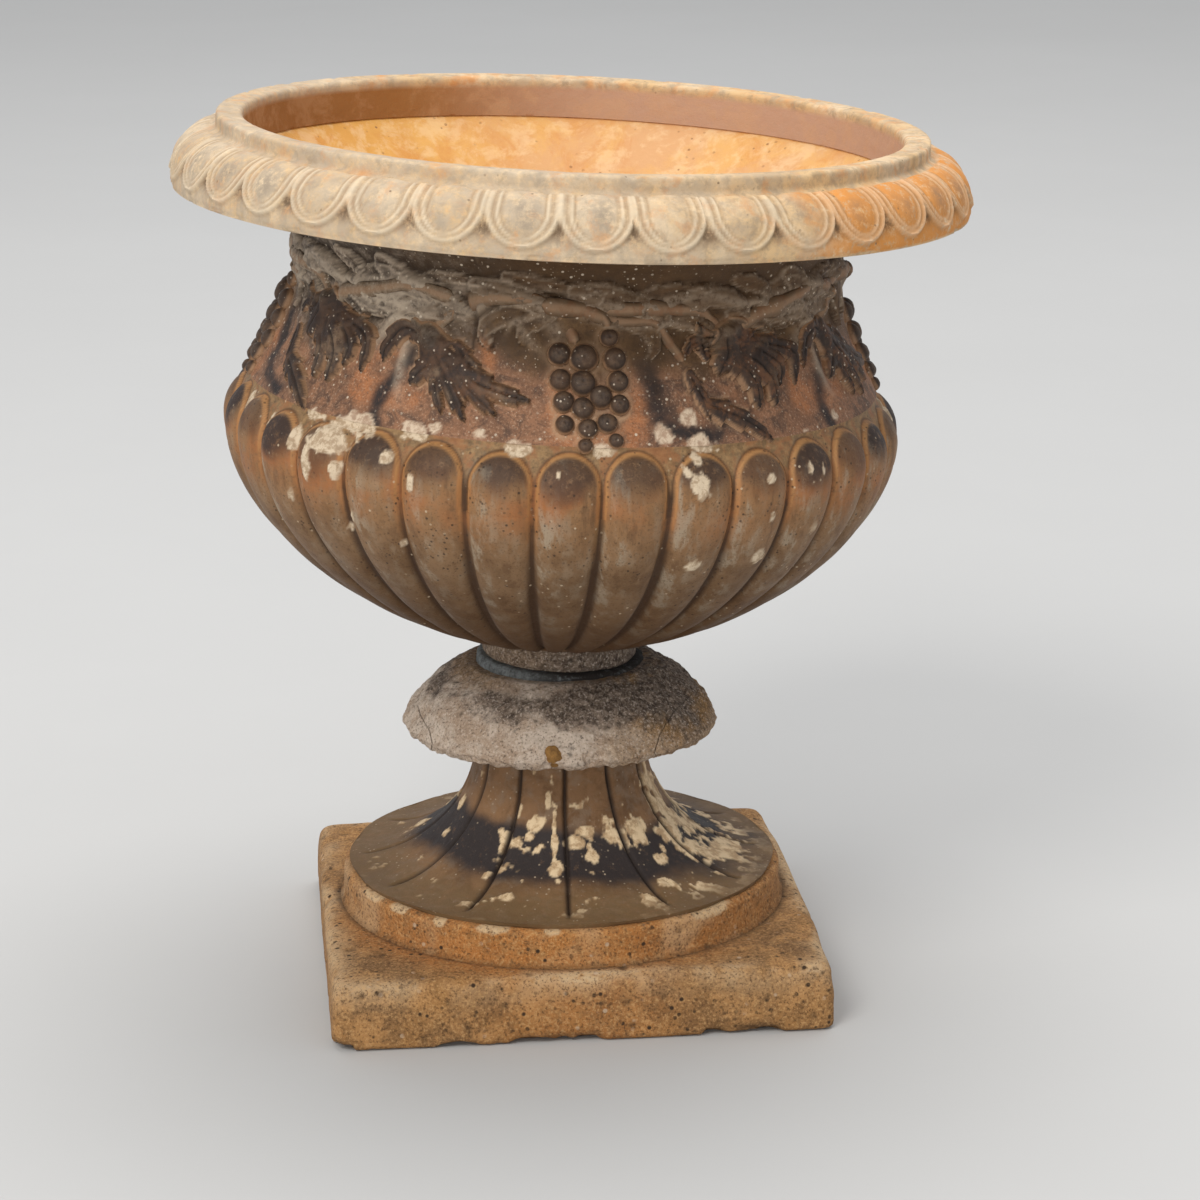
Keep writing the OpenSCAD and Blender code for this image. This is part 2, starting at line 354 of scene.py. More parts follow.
def spots(a, r, z, places, p, ragged, seed):
    """1 inside ragged spots given as (azimuth in degrees, height, half width, half height)."""
    edge = 1.1 * ragged * fbm(p, 8, 5, seed) + 0.6 * ragged * fbm(p, 26, 3, seed + 9)
    mask = np.zeros(a.shape)
    for azimuth, height, wide, high in places:
        across = turned_from(a, math.radians(azimuth)) * r / wide
        up = (z - height) / high
        near = np.hypot(across, up)
        inside = near < 2.2
        raise_to(mask, inside, step(0.12, -0.12, near + edge - 1)[inside])
    return mask


# ---------------------------------------------------------------- materials


def linear(colour):
    """A linear colour from one given as sRGB, 0 to 255."""
    return tuple(c / 255 / 12.92 if c < 10.3 else ((c / 255 + 0.055) / 1.055) ** 2.4 for c in colour) + (1,)


class Shade:
    """A builder for one node material, with the masks that it reads from its meshes."""

    def __init__(self, name, slot=None):
        self.slot = slot or name
        self.material = bpy.data.materials.new(name)
        self.material.use_nodes = True
        self.tree = self.material.node_tree
        self.surface = self.tree.nodes["Principled BSDF"]
        self.coords = self.tree.nodes.new("ShaderNodeTexCoord").outputs["Object"]
        self.masks = set()

    def link(self, value, socket):
        """Feeds a socket from a number, an sRGB colour, another node or a mask's name."""
        if isinstance(value, str):
            value = self.mask(value)
        if isinstance(value, bpy.types.NodeSocket):
            self.tree.links.new(value, socket)
        else:
            socket.default_value = linear(value) if isinstance(value, tuple) else value

    def noise(self, size, detail=5, rough=0.65, distort=0.0, stretch=(1, 1, 1)):
        """Noise whose features measure about size."""
        node = self.tree.nodes.new("ShaderNodeTexNoise")
        node.inputs["Scale"].default_value = 1 / (size * MM)
        node.inputs["Detail"].default_value = detail
        node.inputs["Roughness"].default_value = rough
        node.inputs["Distortion"].default_value = distort
        scale = self.tree.nodes.new("ShaderNodeVectorMath")
        scale.operation = "MULTIPLY"
        self.link(self.coords, scale.inputs[0])
        scale.inputs[1].default_value = stretch
        self.link(scale.outputs[0], node.inputs["Vector"])
        return node.outputs["Fac"]

    def patches(self, size, share, soft=0.08, distort=0.3):
        """1 in ragged patches that cover about a share of the surface."""
        middle = 0.5 + 0.26 * (0.5 - share)
        return self.fade(self.noise(size, 6, 0.7, distort), middle - soft, middle + soft)

    def dots(self, size, reach):
        """1 at the middle of scattered dots, fading to 0 at a reach given in cells."""
        node = self.tree.nodes.new("ShaderNodeTexVoronoi")
        node.inputs["Scale"].default_value = 1 / (size * MM)
        self.link(self.coords, node.inputs["Vector"])
        return self.fade(node.outputs["Distance"], reach, 0.5 * reach)

    def mask(self, name):
        self.masks.add(name)
        node = self.tree.nodes.new("ShaderNodeAttribute")
        node.attribute_name = name
        return node.outputs["Fac"]

    def fade(self, value, low, high):
        """0 at low and 1 at high, smoothly."""
        node = self.tree.nodes.new("ShaderNodeMapRange")
        node.interpolation_type = "SMOOTHSTEP"
        self.link(value, node.inputs["Value"])
        node.inputs["From Min"].default_value = low
        node.inputs["From Max"].default_value = high
        return node.outputs["Result"]

    def math(self, kind, a, b):
        node = self.tree.nodes.new("ShaderNodeMath")
        node.operation = kind
        node.use_clamp = kind != "ADD"
        self.link(a, node.inputs[0])
        self.link(b, node.inputs[1])
        return node.outputs[0]

    def both(self, *values):
        """The product of several masks."""
        result = values[0]
        for value in values[1:]:
            result = self.math("MULTIPLY", result, value)
        return result

    def mix(self, amount, a, b):
        node = self.tree.nodes.new("ShaderNodeMix")
        node.data_type = "RGBA"
        self.link(amount, node.inputs["Factor"])
        self.link(a, node.inputs["A"])
        self.link(b, node.inputs["B"])
        return node.outputs["Result"]

    def layers(self, colour, *coats):
        """Coats of colour over a ground, each given as (colour, masks that are multiplied)."""
        for coat, *amounts in coats:
            colour = self.mix(self.both(*amounts), colour, coat)
        return colour

    def finish(self, colour, low, high, grain, strength):
        """Colour, roughness from low to high with the grain, and bumps as (value, depth)."""
        self.link(colour, self.surface.inputs["Base Color"])
        rough = self.math("ADD", self.both(grain[0][0], high - low), low)
        self.link(rough, self.surface.inputs["Roughness"])
        self.surface.inputs["Specular IOR Level"].default_value = 0.3
        normal = None
        for value, distance in grain:
            node = self.tree.nodes.new("ShaderNodeBump")
            node.inputs["Distance"].default_value = distance * MM
            node.inputs["Strength"].default_value = strength
            self.link(value, node.inputs["Height"])
            if normal is not None:
                self.link(normal, node.inputs["Normal"])
            normal = node.outputs["Normal"]
        self.link(normal, self.surface.inputs["Normal"])
        return self


def cream_clay():
    s = Shade("cream_clay")
    fine = s.noise(7, 7, 0.75)
    grit = s.noise(1.8, 3)
    # painted light: the inner wall paler on the side that faces the key light, browner on the side in shade
    inner = s.mix("blush", (158, 108, 58), (190, 152, 126))
    inner = s.layers(inner, ((204, 160, 118), s.patches(30, 0.35), 0.3))
    colour = s.layers(
        (216, 190, 154),
        ((208, 174, 128), s.patches(70, 0.5, 0.1)),
        ((168, 150, 128), s.patches(26, 0.4), 0.55),
        ((138, 120, 98), s.patches(12, 0.3), 0.45),
        ((204, 146, 92), s.patches(20, 0.2), 0.6),
        ((176, 162, 144), "left", s.fade(fine, 0.3, 0.6), 0.6),
        ((208, 136, 60), "stain", s.fade(fine, 0.3, 0.52), 0.92),
        # painted shade in the channels and darts of the egg moulding
        ((146, 116, 82), "cavity", s.fade(fine, 0.2, 0.6), 0.9),
        # painted highlight on the raised frames of the eggs
        ((232, 214, 184), "edge", 0.4),
        ((126, 112, 96), "smudge", s.fade(fine, 0.38, 0.58), 0.6),
        # painted shade deep in the darts between the eggs
        ((84, 66, 50), "grime", s.fade(fine, 0.3, 0.6)),
        ((110, 90, 68), s.dots(9, 0.14), s.patches(30, 0.3), 0.8),
        (inner, "inside"))
    return s.finish(colour, 0.62, 0.95, [(fine, 1.2), (grit, 0.4)], 0.6)


def sooted_clay():
    s = Shade("sooted_clay")
    fine = s.noise(7, 7, 0.75)
    grit = s.noise(1.8, 3)
    streak = s.noise(13, 6, 0.65, stretch=(1, 1, 0.22))
    cream = s.mix(s.patches(7, 0.45), (208, 188, 160), (168, 144, 116))
    colour = s.layers(
        (134, 104, 74),
        ((112, 84, 56), s.patches(46, 0.45, 0.12)),
        ((146, 106, 68), "tan", s.fade(fine, 0.25, 0.6), 0.8),
        # painted highlight down the left flank of each gadroon, partly lime deposit
        ((158, 142, 120), s.fade(streak, 0.48, 0.64), "pale", 0.8),
        ((82, 58, 38), s.fade(grit, 0.44, 0.36), 0.5),
        ((92, 64, 40), s.fade(streak, 0.46, 0.34), 0.55),
        # painted shade: the lower, down-facing part of the bowl darker
        (s.mix(fine, (40, 22, 8), (88, 58, 30)), "low", 0.85),
        # painted shade in the grooves between the gadroons
        ((56, 34, 16), "cavity", 0.9),
        ((158, 98, 54), "glow", s.fade(fine, 0.2, 0.6), 0.8),
        ((46, 34, 30), "crown", s.fade(fine, 0.24, 0.5)),
        # painted highlight along the raised rims of the gadroons
        ((190, 142, 90), "edge", s.fade(fine, 0.25, 0.5), 0.75),
        (s.mix(s.fade(fine, 0.3, 0.7), (98, 76, 50), (158, 126, 86)), "ground", 0.9),
        ((150, 94, 56), "ground", s.patches(20, 0.35), 0.6),
        ((46, 32, 22), s.dots(5, 0.26), s.patches(30, 0.4), 0.8),
        ((190, 170, 142), s.dots(8, 0.16), s.patches(40, 0.3), 0.8),
        (cream, "flake"),
        ((196, 138, 82), "inside"))
    return s.finish(colour, 0.42, 0.8, [(fine, 0.9), (grit, 0.35)], 0.5)


def burnt_clay():
    s = Shade("burnt_clay")
    fine = s.noise(6, 7, 0.75)
    grit = s.noise(1.8, 3)
    grey = s.mix(s.fade(fine, 0.35, 0.65), (172, 154, 134), (92, 75, 58))
    brown = s.mix(s.fade(fine, 0.35, 0.65), (84, 58, 34), (124, 94, 62))
    cream = s.mix(s.patches(7, 0.45), (208, 186, 160), (170, 142, 118))
    shelf = s.layers(
        # painted light: the shelf paler on the side that faces the key light
        s.mix("blush", (212, 154, 74), (214, 164, 114)),
        ((226, 174, 94), s.patches(50, 0.4, 0.12), 0.6),
        ((206, 136, 66), s.patches(60, 0.35, 0.1, 1.2), 0.5),
        ((240, 212, 168), s.patches(22, 0.3), 0.35),
        ((150, 104, 64), s.dots(9, 0.2), s.patches(40, 0.3)))
    colour = s.layers(
        (146, 104, 76),
        ((118, 84, 62), s.patches(32, 0.45, 0.12)),
        ((76, 58, 48), s.patches(18, 0.36, distort=0.8), 0.75),
        ((180, 116, 72), "glow", s.fade(fine, 0.25, 0.6), 0.7),
        ((84, 62, 46), s.fade(grit, 0.45, 0.37), 0.5),
        ((182, 150, 122), s.fade(grit, 0.56, 0.63), 0.4),
        (s.mix("brown", grey, brown), "upper"),
        ((56, 40, 26), s.patches(15, 0.4, distort=0.8), "upper", 0.65),
        # painted shadow in the band beneath the rim
        ((74, 50, 28), "under", "brown", 0.7),
        ((46, 38, 36), "soot", s.fade(fine, 0.15, 0.5)),
        # painted shade in the hollows of the relief, round the leaves and along the mould seam
        ((40, 26, 14), "cavity", 0.85),
        ((176, 142, 110), "halo", s.fade(fine, 0.1, 0.45), 0.85),
        # painted highlight on the crests of the relief
        ((190, 172, 150), "edge", s.fade(fine, 0.3, 0.55), 0.8),
        (s.mix(fine, (54, 34, 16), (118, 88, 56)), "upper", "brown", 0.55),
        ((204, 188, 166), s.dots(7, 0.2), s.patches(34, 0.55), 0.85),
        ((190, 170, 146), s.dots(3.6, 0.2), s.patches(26, 0.4), 0.7),
        (cream, "flake"),
        (shelf, "inside"))
    return s.finish(colour, 0.48, 0.85, [(fine, 1.1), (grit, 0.4)], 0.6)


def blackened_clay():
    s = Shade("blackened_clay")
    fine = s.noise(5, 7, 0.75)
    grit = s.noise(1.6, 3)
    colour = s.layers(
        (50, 37, 30),
        ((74, 53, 38), s.patches(18, 0.45, 0.1)),
        (s.mix(s.fade(fine, 0.35, 0.65), (152, 134, 112), (84, 67, 50)), "upper"),
        ((88, 62, 36), "brown", "upper", 0.75),
        # painted highlight on the raised parts of the leaves, partly wear, and on the outward faces of
        # berries and stems
        ((138, 114, 90), "worn", s.fade(fine, 0.36, 0.6), 0.55),
        # painted shade in the leaves' veins, the berries' navels and on the stems' sides against the wall
        ((28, 20, 15), "cavity", 0.8),
        # painted highlight along the leaves' edges and the stems' crests; a pale ring round each berry's
        # foot
        ((166, 130, 98), "edge", s.fade(fine, 0.25, 0.5), 0.85),
        ((124, 82, 52), "brown", s.patches(12, 0.3), 0.5),
        ((192, 176, 156), s.dots(5, 0.22), s.patches(26, 0.5), 0.85))
    return s.finish(colour, 0.4, 0.78, [(fine, 0.9), (grit, 0.35)], 0.55)


def crumbly_clay():
    s = Shade("crumbly_clay")
    fine = s.noise(5, 8, 0.8)
    grit = s.noise(2.2, 5, 0.75)
    dark = s.mix(s.fade(fine, 0.38, 0.62), (70, 57, 47), (140, 122, 106))
    tan = s.mix(s.fade(fine, 0.35, 0.65), (110, 82, 52), (172, 134, 88))
    colour = s.layers(
        (194, 176, 158),
        ((168, 144, 122), s.patches(30, 0.45, 0.1)),
        (tan, "tan"),
        (dark, "soot"),
        ((214, 198, 182), s.fade(grit, 0.54, 0.62), 0.6),
        ((60, 48, 40), s.fade(grit, 0.46, 0.38), 0.7),
        ((36, 28, 22), "cavity", 0.9))
    return s.finish(colour, 0.85, 0.97, [(fine, 2.4), (grit, 1.2)], 0.8)


def ochre_clay():
    s = Shade("ochre_clay")
    fine = s.noise(6, 8, 0.78)
    grit = s.noise(2.2, 4, 0.7)
    colour = s.layers(
        (160, 116, 68),
        ((142, 106, 68), s.patches(90, 0.5, 0.12)),
        ((118, 86, 54), s.patches(34, 0.4), 0.7),
        ((184, 136, 84), s.patches(24, 0.3), 0.7),
        ((176, 112, 54), "orange", s.fade(fine, 0.3, 0.6), 0.75),
        ((196, 166, 128), "worn", s.fade(fine, 0.3, 0.52)),
        ((202, 160, 108), s.fade(grit, 0.54, 0.62), 0.55),
        ((80, 56, 36), s.fade(grit, 0.46, 0.38), 0.7),
        ((58, 42, 28), s.dots(9, 0.26), s.patches(40, 0.45)),
        ((192, 166, 138), s.dots(12, 0.2), s.patches(60, 0.3), 0.8),
        ((62, 44, 28), "cavity", 0.9))
    return s.finish(colour, 0.8, 0.96, [(fine, 1.8), (grit, 0.8)], 0.8)


def socle_clay():
    s = Shade("socle_clay", "sooted_clay")
    fine = s.noise(6, 7, 0.75)
    grit = s.noise(1.8, 3)
    cream = s.mix(s.patches(9, 0.45), (214, 188, 150), (172, 142, 106))
    colour = s.layers(
        (130, 96, 64),
        ((106, 76, 48), s.patches(34, 0.45, 0.1)),
        ((132, 112, 92), s.patches(16, 0.3), 0.5),
        ((112, 88, 58), "low", s.fade(fine, 0.2, 0.6), 0.9),
        ((46, 38, 36), "soot", s.fade(fine, 0.15, 0.45)),
        ((168, 150, 126), s.dots(6, 0.18), s.patches(30, 0.5), 0.8),
        (cream, "flake"),
        ((34, 22, 14), "cavity", 0.92))
    return s.finish(colour, 0.5, 0.85, [(fine, 1.1), (grit, 0.4)], 0.6)


def mortar(name, light, dark):
    s = Shade(name)
    fine = s.noise(5, 7, 0.8)
    grit = s.noise(1.6, 4, 0.7)
    colour = s.layers(s.mix(s.fade(fine, 0.3, 0.7), light, dark),
                      ((44, 38, 34), "soot", s.fade(fine, 0.2, 0.5)))
    return s.finish(colour, 0.85, 0.98, [(fine, 2.2), (grit, 0.8)], 0.8)


CREAM, SOOTED, BURNT, BLACK = cream_clay(), sooted_clay(), burnt_clay(), blackened_clay()
CRUMBLY, OCHRE, SOCLE = crumbly_clay(), ochre_clay(), socle_clay()
GREY_MORTAR = mortar("grey_mortar", (140, 144, 144), (74, 74, 70))
LIME_MORTAR = mortar("lime_mortar", (160, 146, 124), (100, 88, 70))
OCHRE_MORTAR = mortar("ochre_mortar", (156, 114, 60), (100, 70, 38))

# ---------------------------------------------------------------- pedestal


def build_plinth():
    """The square slab, turned as a round section and then widened to a square."""
    half, high = PLINTH_HALF - 1, PLINTH_H
    edge, foot = 10, 4
    low = 0.8
    outer = arc((half - foot, foot + low), (foot, foot), -90, 0, 6)
    outer += arc((half - edge, high - edge), (edge, edge), 0, 90, 8) + [(0.7 * RING_R, high)]
    inner = [outer[-1], (CHANNEL_R, high), (CHANNEL_R, low), outer[0]]

    def squared(a, r):
        """How much the section widens, from the round channel to a slightly rounded square."""
        square = (np.abs(np.cos(a)) ** 42 + np.abs(np.sin(a)) ** 42) ** (-1 / 42)
        return 1 + (square - 1) * step(CHANNEL_R, half, r)

    def shape(a, r, z, face):
        away = r * squared(a, r)
        p = place(a, away, z)
        corner = step(0.82, 1, np.abs(np.sin(2 * a)))
        rim = bump(z - high, 16) * step(half - 26, half, r)
        foot_edge = step(12, 0, z) * step(half - 12, half - 4, r)
        chips = step(0.1, 0.45, fbm(p, 34, 3, 21))
        hole = pits(p, 13, 0.5, 11)
        moved = fbm(p, 60, 4, 3) - 1.3 * hole - chips * (2 * rim + 5 * foot_edge) - 3 * corner * rim
        right = step(0.1, 0.8, facing(a, 325))
        worn = np.clip(0.8 * rim + right * step(high - 8, high, z) * step(RING_R, half, r), 0, 1)
        orange = step(0.3, 0.9, facing(a, 250)) * bump(away - RING_R - 4, 20)
        return np.minimum(moved, 0.4) * (face >= 0), {
            "worn": worn * step(-0.4, 0.3, fbm(p, 30, 3, 13)), "orange": orange,
            "cavity": 0.6 * step(0.2, 0.8, hole) + 0.6 * chips * foot_edge
                      + 0.8 * bump(away - RING_R + 1, 4) * (z > high / 2)}

    points, faces, masks = turned(outer, inner, 2.4, 8, 1000, shape)
    away = np.hypot(points[..., 0], points[..., 1])
    points[..., :2] *= squared(np.arctan2(points[..., 1], points[..., 0]), away)[..., None]
    on_pedestal("plinth", OCHRE, points, faces, masks)


# Lime flakes on the foot ring's edge, as (azimuth in degrees, half width, half height)
RING_FLAKES = [(232, 6, 4), (247, 12, 4), (262, 6, 3), (218, 8, 4),
               (206, 12, 4), (306, 20, 5), (100, 14, 5), (30, 10, 4)]


def build_foot_ring():
    inner_r = SOCLE_FOOT_R - 50
    low = PLINTH_H - 1
    band_r = RING_R - 3.5
    outer = [(inner_r, low), (RING_R, low)]
    outer += arc((RING_R, PLINTH_H + 9), (3.5, 8.5), 270, 180, 8)
    outer += arc((band_r - 5, RING_TOP - 5), (5, 5), 0, 90, 7) + [(inner_r, RING_TOP)]

    def shape(a, r, z, face):
        p = place(a, r, z)
        hole = pits(p, 12, 0.4, 15)
        moved = 0.9 * fbm(p, 30, 4, 5) - 1.2 * hole
        under = step(6, 0, z - PLINTH_H)
        places = [(azimuth, RING_TOP - 1, wide, high) for azimuth, wide, high in RING_FLAKES]
        lime = spots(a, r, z, places, p, 0.5, 17)
        return np.minimum(moved, 0.5) * (face >= 0), {
            "worn": np.maximum(0.5 * step(0.0, 0.5, fbm(p, 40, 3, 8)), lime),
            "orange": 0.4 + 0.6 * step(0, 0.9, facing(a, 265)),
            "cavity": 0.5 * under + 0.5 * step(0.3, 0.9, hole)}

    inner = [(inner_r, RING_TOP), (inner_r, low)]
    on_pedestal("foot_ring", OCHRE, *turned(outer, inner, 1.8, 8, 640, shape))


def socle_curve(z):
    """Concave flare: a quarter ellipse from the foot moulding to the neck."""
    up = min(1, max(0, (SOCLE_TOP - z) / (SOCLE_TOP - RING_TOP - 4)))
    return SOCLE_FOOT_R - (SOCLE_FOOT_R - NECK_R) * math.sqrt(1 - up * up)


# Lime flakes on the socle, as (azimuth in degrees, height, half width, half height)
SOCLE_FLAKES = [(279, 136, 8, 6), (290, 131, 11, 7), (304, 130, 12, 8), (272, 128, 9, 4),
                (261, 138, 2, 10), (261.5, 124, 2.5, 11), (262, 113, 6, 5), (250, 141, 7, 5),
                (236, 126, 4, 8), (248, 131, 4, 3), (311, 109, 6, 3), (328, 121, 16, 9),
                (331, 108, 20, 6), (345, 98, 34, 5), (338, 129, 10, 10), (352, 115, 16, 11),
                (240, 148, 2, 5), (257, 160, 2, 5), (342, 150, 8, 16), (20, 117, 16, 8), (60, 126, 12, 9),
                (95, 109, 14, 6), (130, 132, 10, 9), (160, 105, 12, 5)]


def build_socle():
    soot_line = 117
    drop = SOCLE_TOP - RING_TOP - 4
    heights = [RING_TOP + 4 + drop * (1 - math.cos(math.radians(t))) for t in range(0, 91, 3)]
    outer = [(SOCLE_FOOT_R - 2, RING_TOP - 0.5)] + [(socle_curve(z), z) for z in heights]
    inner = [(NECK_R, SOCLE_TOP)]
    inner += [(max(NECK_R - WALL, socle_curve(z) - WALL), z) for z in reversed(heights)]
    inner += [(SOCLE_FOOT_R - 46, RING_TOP), outer[0]]

    def shape(a, r, z, face):
        p = place(a, r, z)
        pitch = 2 * math.pi / FLUTES
        off = ((a - FLUTE_PHASE + pitch / 2) % pitch - pitch / 2) * r + 0.8 * noise(p, 30, 33)
        flute = bump(off, 2.0) * step(SOCLE_FOOT_R - 8, SOCLE_FOOT_R - 24, r)
        right = 0.5 + 0.5 * facing(a, 345)
        flake = np.maximum(spots(a, r, z, SOCLE_FLAKES, p, 0.9, 40),
                           step(0.34, 0.42, fbm(p, 14, 4, 47) + 0.3 * right ** 6))
        flake = flake * step(RING_TOP + 3, RING_TOP + 8, z) * (1 - flute)
        panel = 1.2 * (np.cos(off / (r * pitch / 2) * math.pi / 2) - 1)
        crumbs = flake * (0.8 + 0.5 * noise(p, 5, 48))
        moved = 0.6 * fbm(p, 36, 4, 6) - 3.2 * flute + crumbs + panel - 0.7 * pits(p, 11, 0.3, 16)
        soot = bump(z - soot_line - 6 * facing(a, 200), 19)
        soot = step(0.25, 0.7, soot + 0.35 * fbm(p, 40, 4, 44))
        return moved * (face >= 0), {"cavity": flute, "flake": flake * (face >= 0), "soot": soot,
                                     "low": step(RING_TOP + 22, RING_TOP + 6, z)}

    on_pedestal("socle", SOCLE, *turned(outer, inner, 1.6, 9, 704, shape))


def build_stem_mortar():
    low, high = box("stem_mortar")[0][2], box("stem_mortar")[1][2]
    size = radius("stem_mortar")
    inner_r = size - WALL + 3

    def shape(a, r, z, face):
        rough = 1.2 * fbm(place(a, r, z), 9, 3, 9)
        return np.minimum(rough, 0) * (r > size - 3), {"soot": 0.3 + 0 * a}

    outer = [(inner_r, low), (size - 2, low), (size, low + 2), (size, high - 2),
             (size - 2, high), (inner_r, high)]
    inner = [(inner_r, high), (inner_r, low)]
    on_pedestal("stem_mortar", LIME_MORTAR, *turned(outer, inner, 1.5, 4, 300, shape), suffix="_ring")


PATCH = math.radians(262)
BREAKS = {"collar_chip_left": (math.radians(190), 119),
          "collar_chip_right": (math.radians(331), 110)}


def collar_mesh():
    """The whole collar: a crumbly dome with a broken lower edge."""
    widest = COLLAR_LOW + 11
    top_r = 77
    soot_line = 243
    dome = []
    for t in np.linspace(0, 1, 18):
        swell = 4.2 * 4 * t * (1 - t)
        dome.append((COLLAR_R - 1 + t * (top_r - COLLAR_R) + swell,
                     widest + t * (COLLAR_HIGH - widest) + swell))
    outer = [(CHANNEL_R, COLLAR_LOW), (COLLAR_R - 30, COLLAR_LOW),
             (COLLAR_R - 5, widest - 6)] + dome + [(CHANNEL_R, COLLAR_HIGH)]

    def shape(a, r, z, face):
        p = place(a, r, z)
        edge = bump(z - widest, 9) * step(COLLAR_R - 25, COLLAR_R, r)
        notch = bump(turned_from(a, PATCH) * r, 9) * edge
        chips = step(0.1, 0.5, fbm(p, 18, 3, 52)) * edge
        rough = 2.4 * fbm(p, 16, 4, 50) + 1.8 * fbm(p, 5, 3, 51)
        crater = pits(p, 8, 0.5, 55)
        outside = (face >= 0) * step(40, 60, r) * step(COLLAR_HIGH + 1, COLLAR_HIGH - 4, z)
        moved = rough - 1.2 * crater - 3.2 * chips - 3 * notch
        uneven = fbm(p, 34, 4, 57)
        band = bump(z - soot_line + 6 * uneven, 15)
        left = 0.5 + 0.5 * facing(a, 205)
        soot = step(0.12, 0.75, band + 0.9 * uneven + 0.5 * fbm(p, 9, 3, 58) - 0.9 * left ** 4 + 0.1)
        tan = step(0.35, 0.8, facing(a, 343) + 0.4 * uneven)
        tan = np.maximum(tan, 0.7 * step(0.5, 0.9, facing(a, 180)) * step(soot_line + 2, soot_line + 12, z))
        pale = 0.8 * step(widest + 14, widest, z + 8 * uneven)
        return moved * outside, {"soot": soot * (1 - pale), "tan": tan * (1 - 0.4 * pale),
                                 "cavity": 0.8 * step(0.35, 0.9, crater)}

    inner = [(CHANNEL_R, COLLAR_HIGH), (CHANNEL_R, COLLAR_LOW)]
    return make_mesh("collar", *turned(outer, inner, 1.5, 8, 560, shape))


def broken_off(mesh, name, azimuth, distance, keep_far):
    """A copy of a mesh cut off along an upright break and closed again there."""
    copy = mesh.copy()
    copy.name = name
    away = Vector((math.cos(azimuth), math.sin(azimuth), 0))
    work = bmesh.new()
    work.from_mesh(copy)
    parts = work.verts[:] + work.edges[:] + work.faces[:]
    bmesh.ops.bisect_plane(work, geom=parts, plane_co=away * distance * MM, plane_no=away,
                           clear_outer=not keep_far, clear_inner=keep_far)
    open_edges = [e for e in work.edges if e.is_boundary]
    bmesh.ops.triangle_fill(work, use_beauty=True, edges=open_edges)
    work.to_mesh(copy)
    work.free()
    return copy


def build_collar():
    whole = collar_mesh()
    rest = whole
    crack = 0.35
    for name, (azimuth, distance) in BREAKS.items():
        chip = broken_off(whole, name, azimuth, distance + crack, True)
        show(name, chip, CRUMBLY, "pedestal")
        rest = broken_off(rest, "collar_rest", azimuth, distance - crack, False)
    show("collar", rest, CRUMBLY, "pedestal")


def build_patch():
    """Ochre mortar pressed by hand into a chip of the collar's edge."""
    work = bmesh.new()
    bmesh.ops.create_icosphere(work, subdivisions=5, radius=1)
    points = np.array([v.co[:] for v in work.verts])
    faces = np.array([[v.index for v in f.verts] for f in work.faces])
    work.free()
    grow = 1 + 0.2 * fbm(points * 9, 7, 4, 61)
    points = points * grow[:, None] * np.array((5, 8, 9)) + (COLLAR_R - 8, 0, 0)
    turn = np.array(Matrix.Rotation(PATCH, 3, "Z"))
    points = points @ turn.T + (0, 0, COLLAR_LOW + 15)
    on_pedestal("repair_patch", OCHRE_MORTAR, points, faces, suffix="_mortar")


def build_wedge():
    """Mortar bed between collar and bowl, squeezed out unevenly and thick at the left."""
    inner_r = CHANNEL_R + 2
    outer_r = BOWL_FOOT_R + 5
    low = COLLAR_HIGH - 0.5
    high = low + 6
    foot = leaned(np.array((0, 0, FOOT_LOW - 0.3)))
    slope = leaned(np.array((0, 0, 1.0))) - leaned(np.zeros(3))

    def shape(a, r, z, face):
        rough = 2.2 * fbm(place(a, r, z), 12, 4, 65)
        dark = step(-0.3, 0.6, facing(a, 330))
        return np.minimum(rough, 1) * step(inner_r + 8, outer_r, r), {"soot": dark}

    outer = [(inner_r, low), (outer_r, low), (outer_r + 1, low + 2),
             (outer_r - 2, high - 1), (outer_r - 5, high), (inner_r, high)]
    points, faces, masks = turned(outer, [(inner_r, high), (inner_r, low)], 1.6, 3, 420, shape)
    bed = foot[2] - ((points - foot)[..., :2] @ slope[:2]) / slope[2]
    share = step(low, high, points[..., 2])
    top = np.maximum(bed - low, 0.6)
    points[..., 2] = np.where(points[..., 2] > low + 0.5, low + share * top, points[..., 2])
    on_pedestal("bedding_wedge", GREY_MORTAR, points, faces, masks, suffix="_mortar")


# ---------------------------------------------------------------- bowl
# Everything of the bowl is shaped upright, in its own frame, and leaned as the last step

LAME = 1.8
BELLY_DROP = BELLY + 7
BELLY_RISE = 141
FRIEZE_FLARE = 42
RELIEF = 8.5

# Lime flakes, as (azimuth in degrees, height from the frieze's foot, half width, half height)
FLAKES = [(222, -16, 17, 9), (219, -34, 6, 13), (225, -36, 5, 6), (214, -22, 8, 10), (216, -3, 11, 5),
          (227, -1, 17, 8), (238, 1, 10, 6), (242, 5, 6, 4), (250, 5, 5, 4), (257, -4, 8, 5),
          (235, -19, 5, 4), (240, -35, 3, 6), (193, -14, 5, 9), (205, -16, 3, 5), (282, 9, 9, 7),
          (288, 0, 12, 7), (287, -6, 5, 6), (287, 18, 6, 7), (272, -2, 8, 5), (287, -26, 6, 9),
          (285, -16, 3, 4), (300, -26, 4, 3), (309, -22, 3, 4), (312, -23, 2, 6), (312, 2, 4, 2),
          (288, -91, 5, 4), (301, -89, 5, 4), (301, -55, 2, 3), (312, -72, 3, 3), (264, -18, 2, 3),
          (228, -70, 2, 4), (226, -84, 2, 3), (213, -66, 2, 6), (237, -88, 4, 3), (322, 6, 5, 3)]


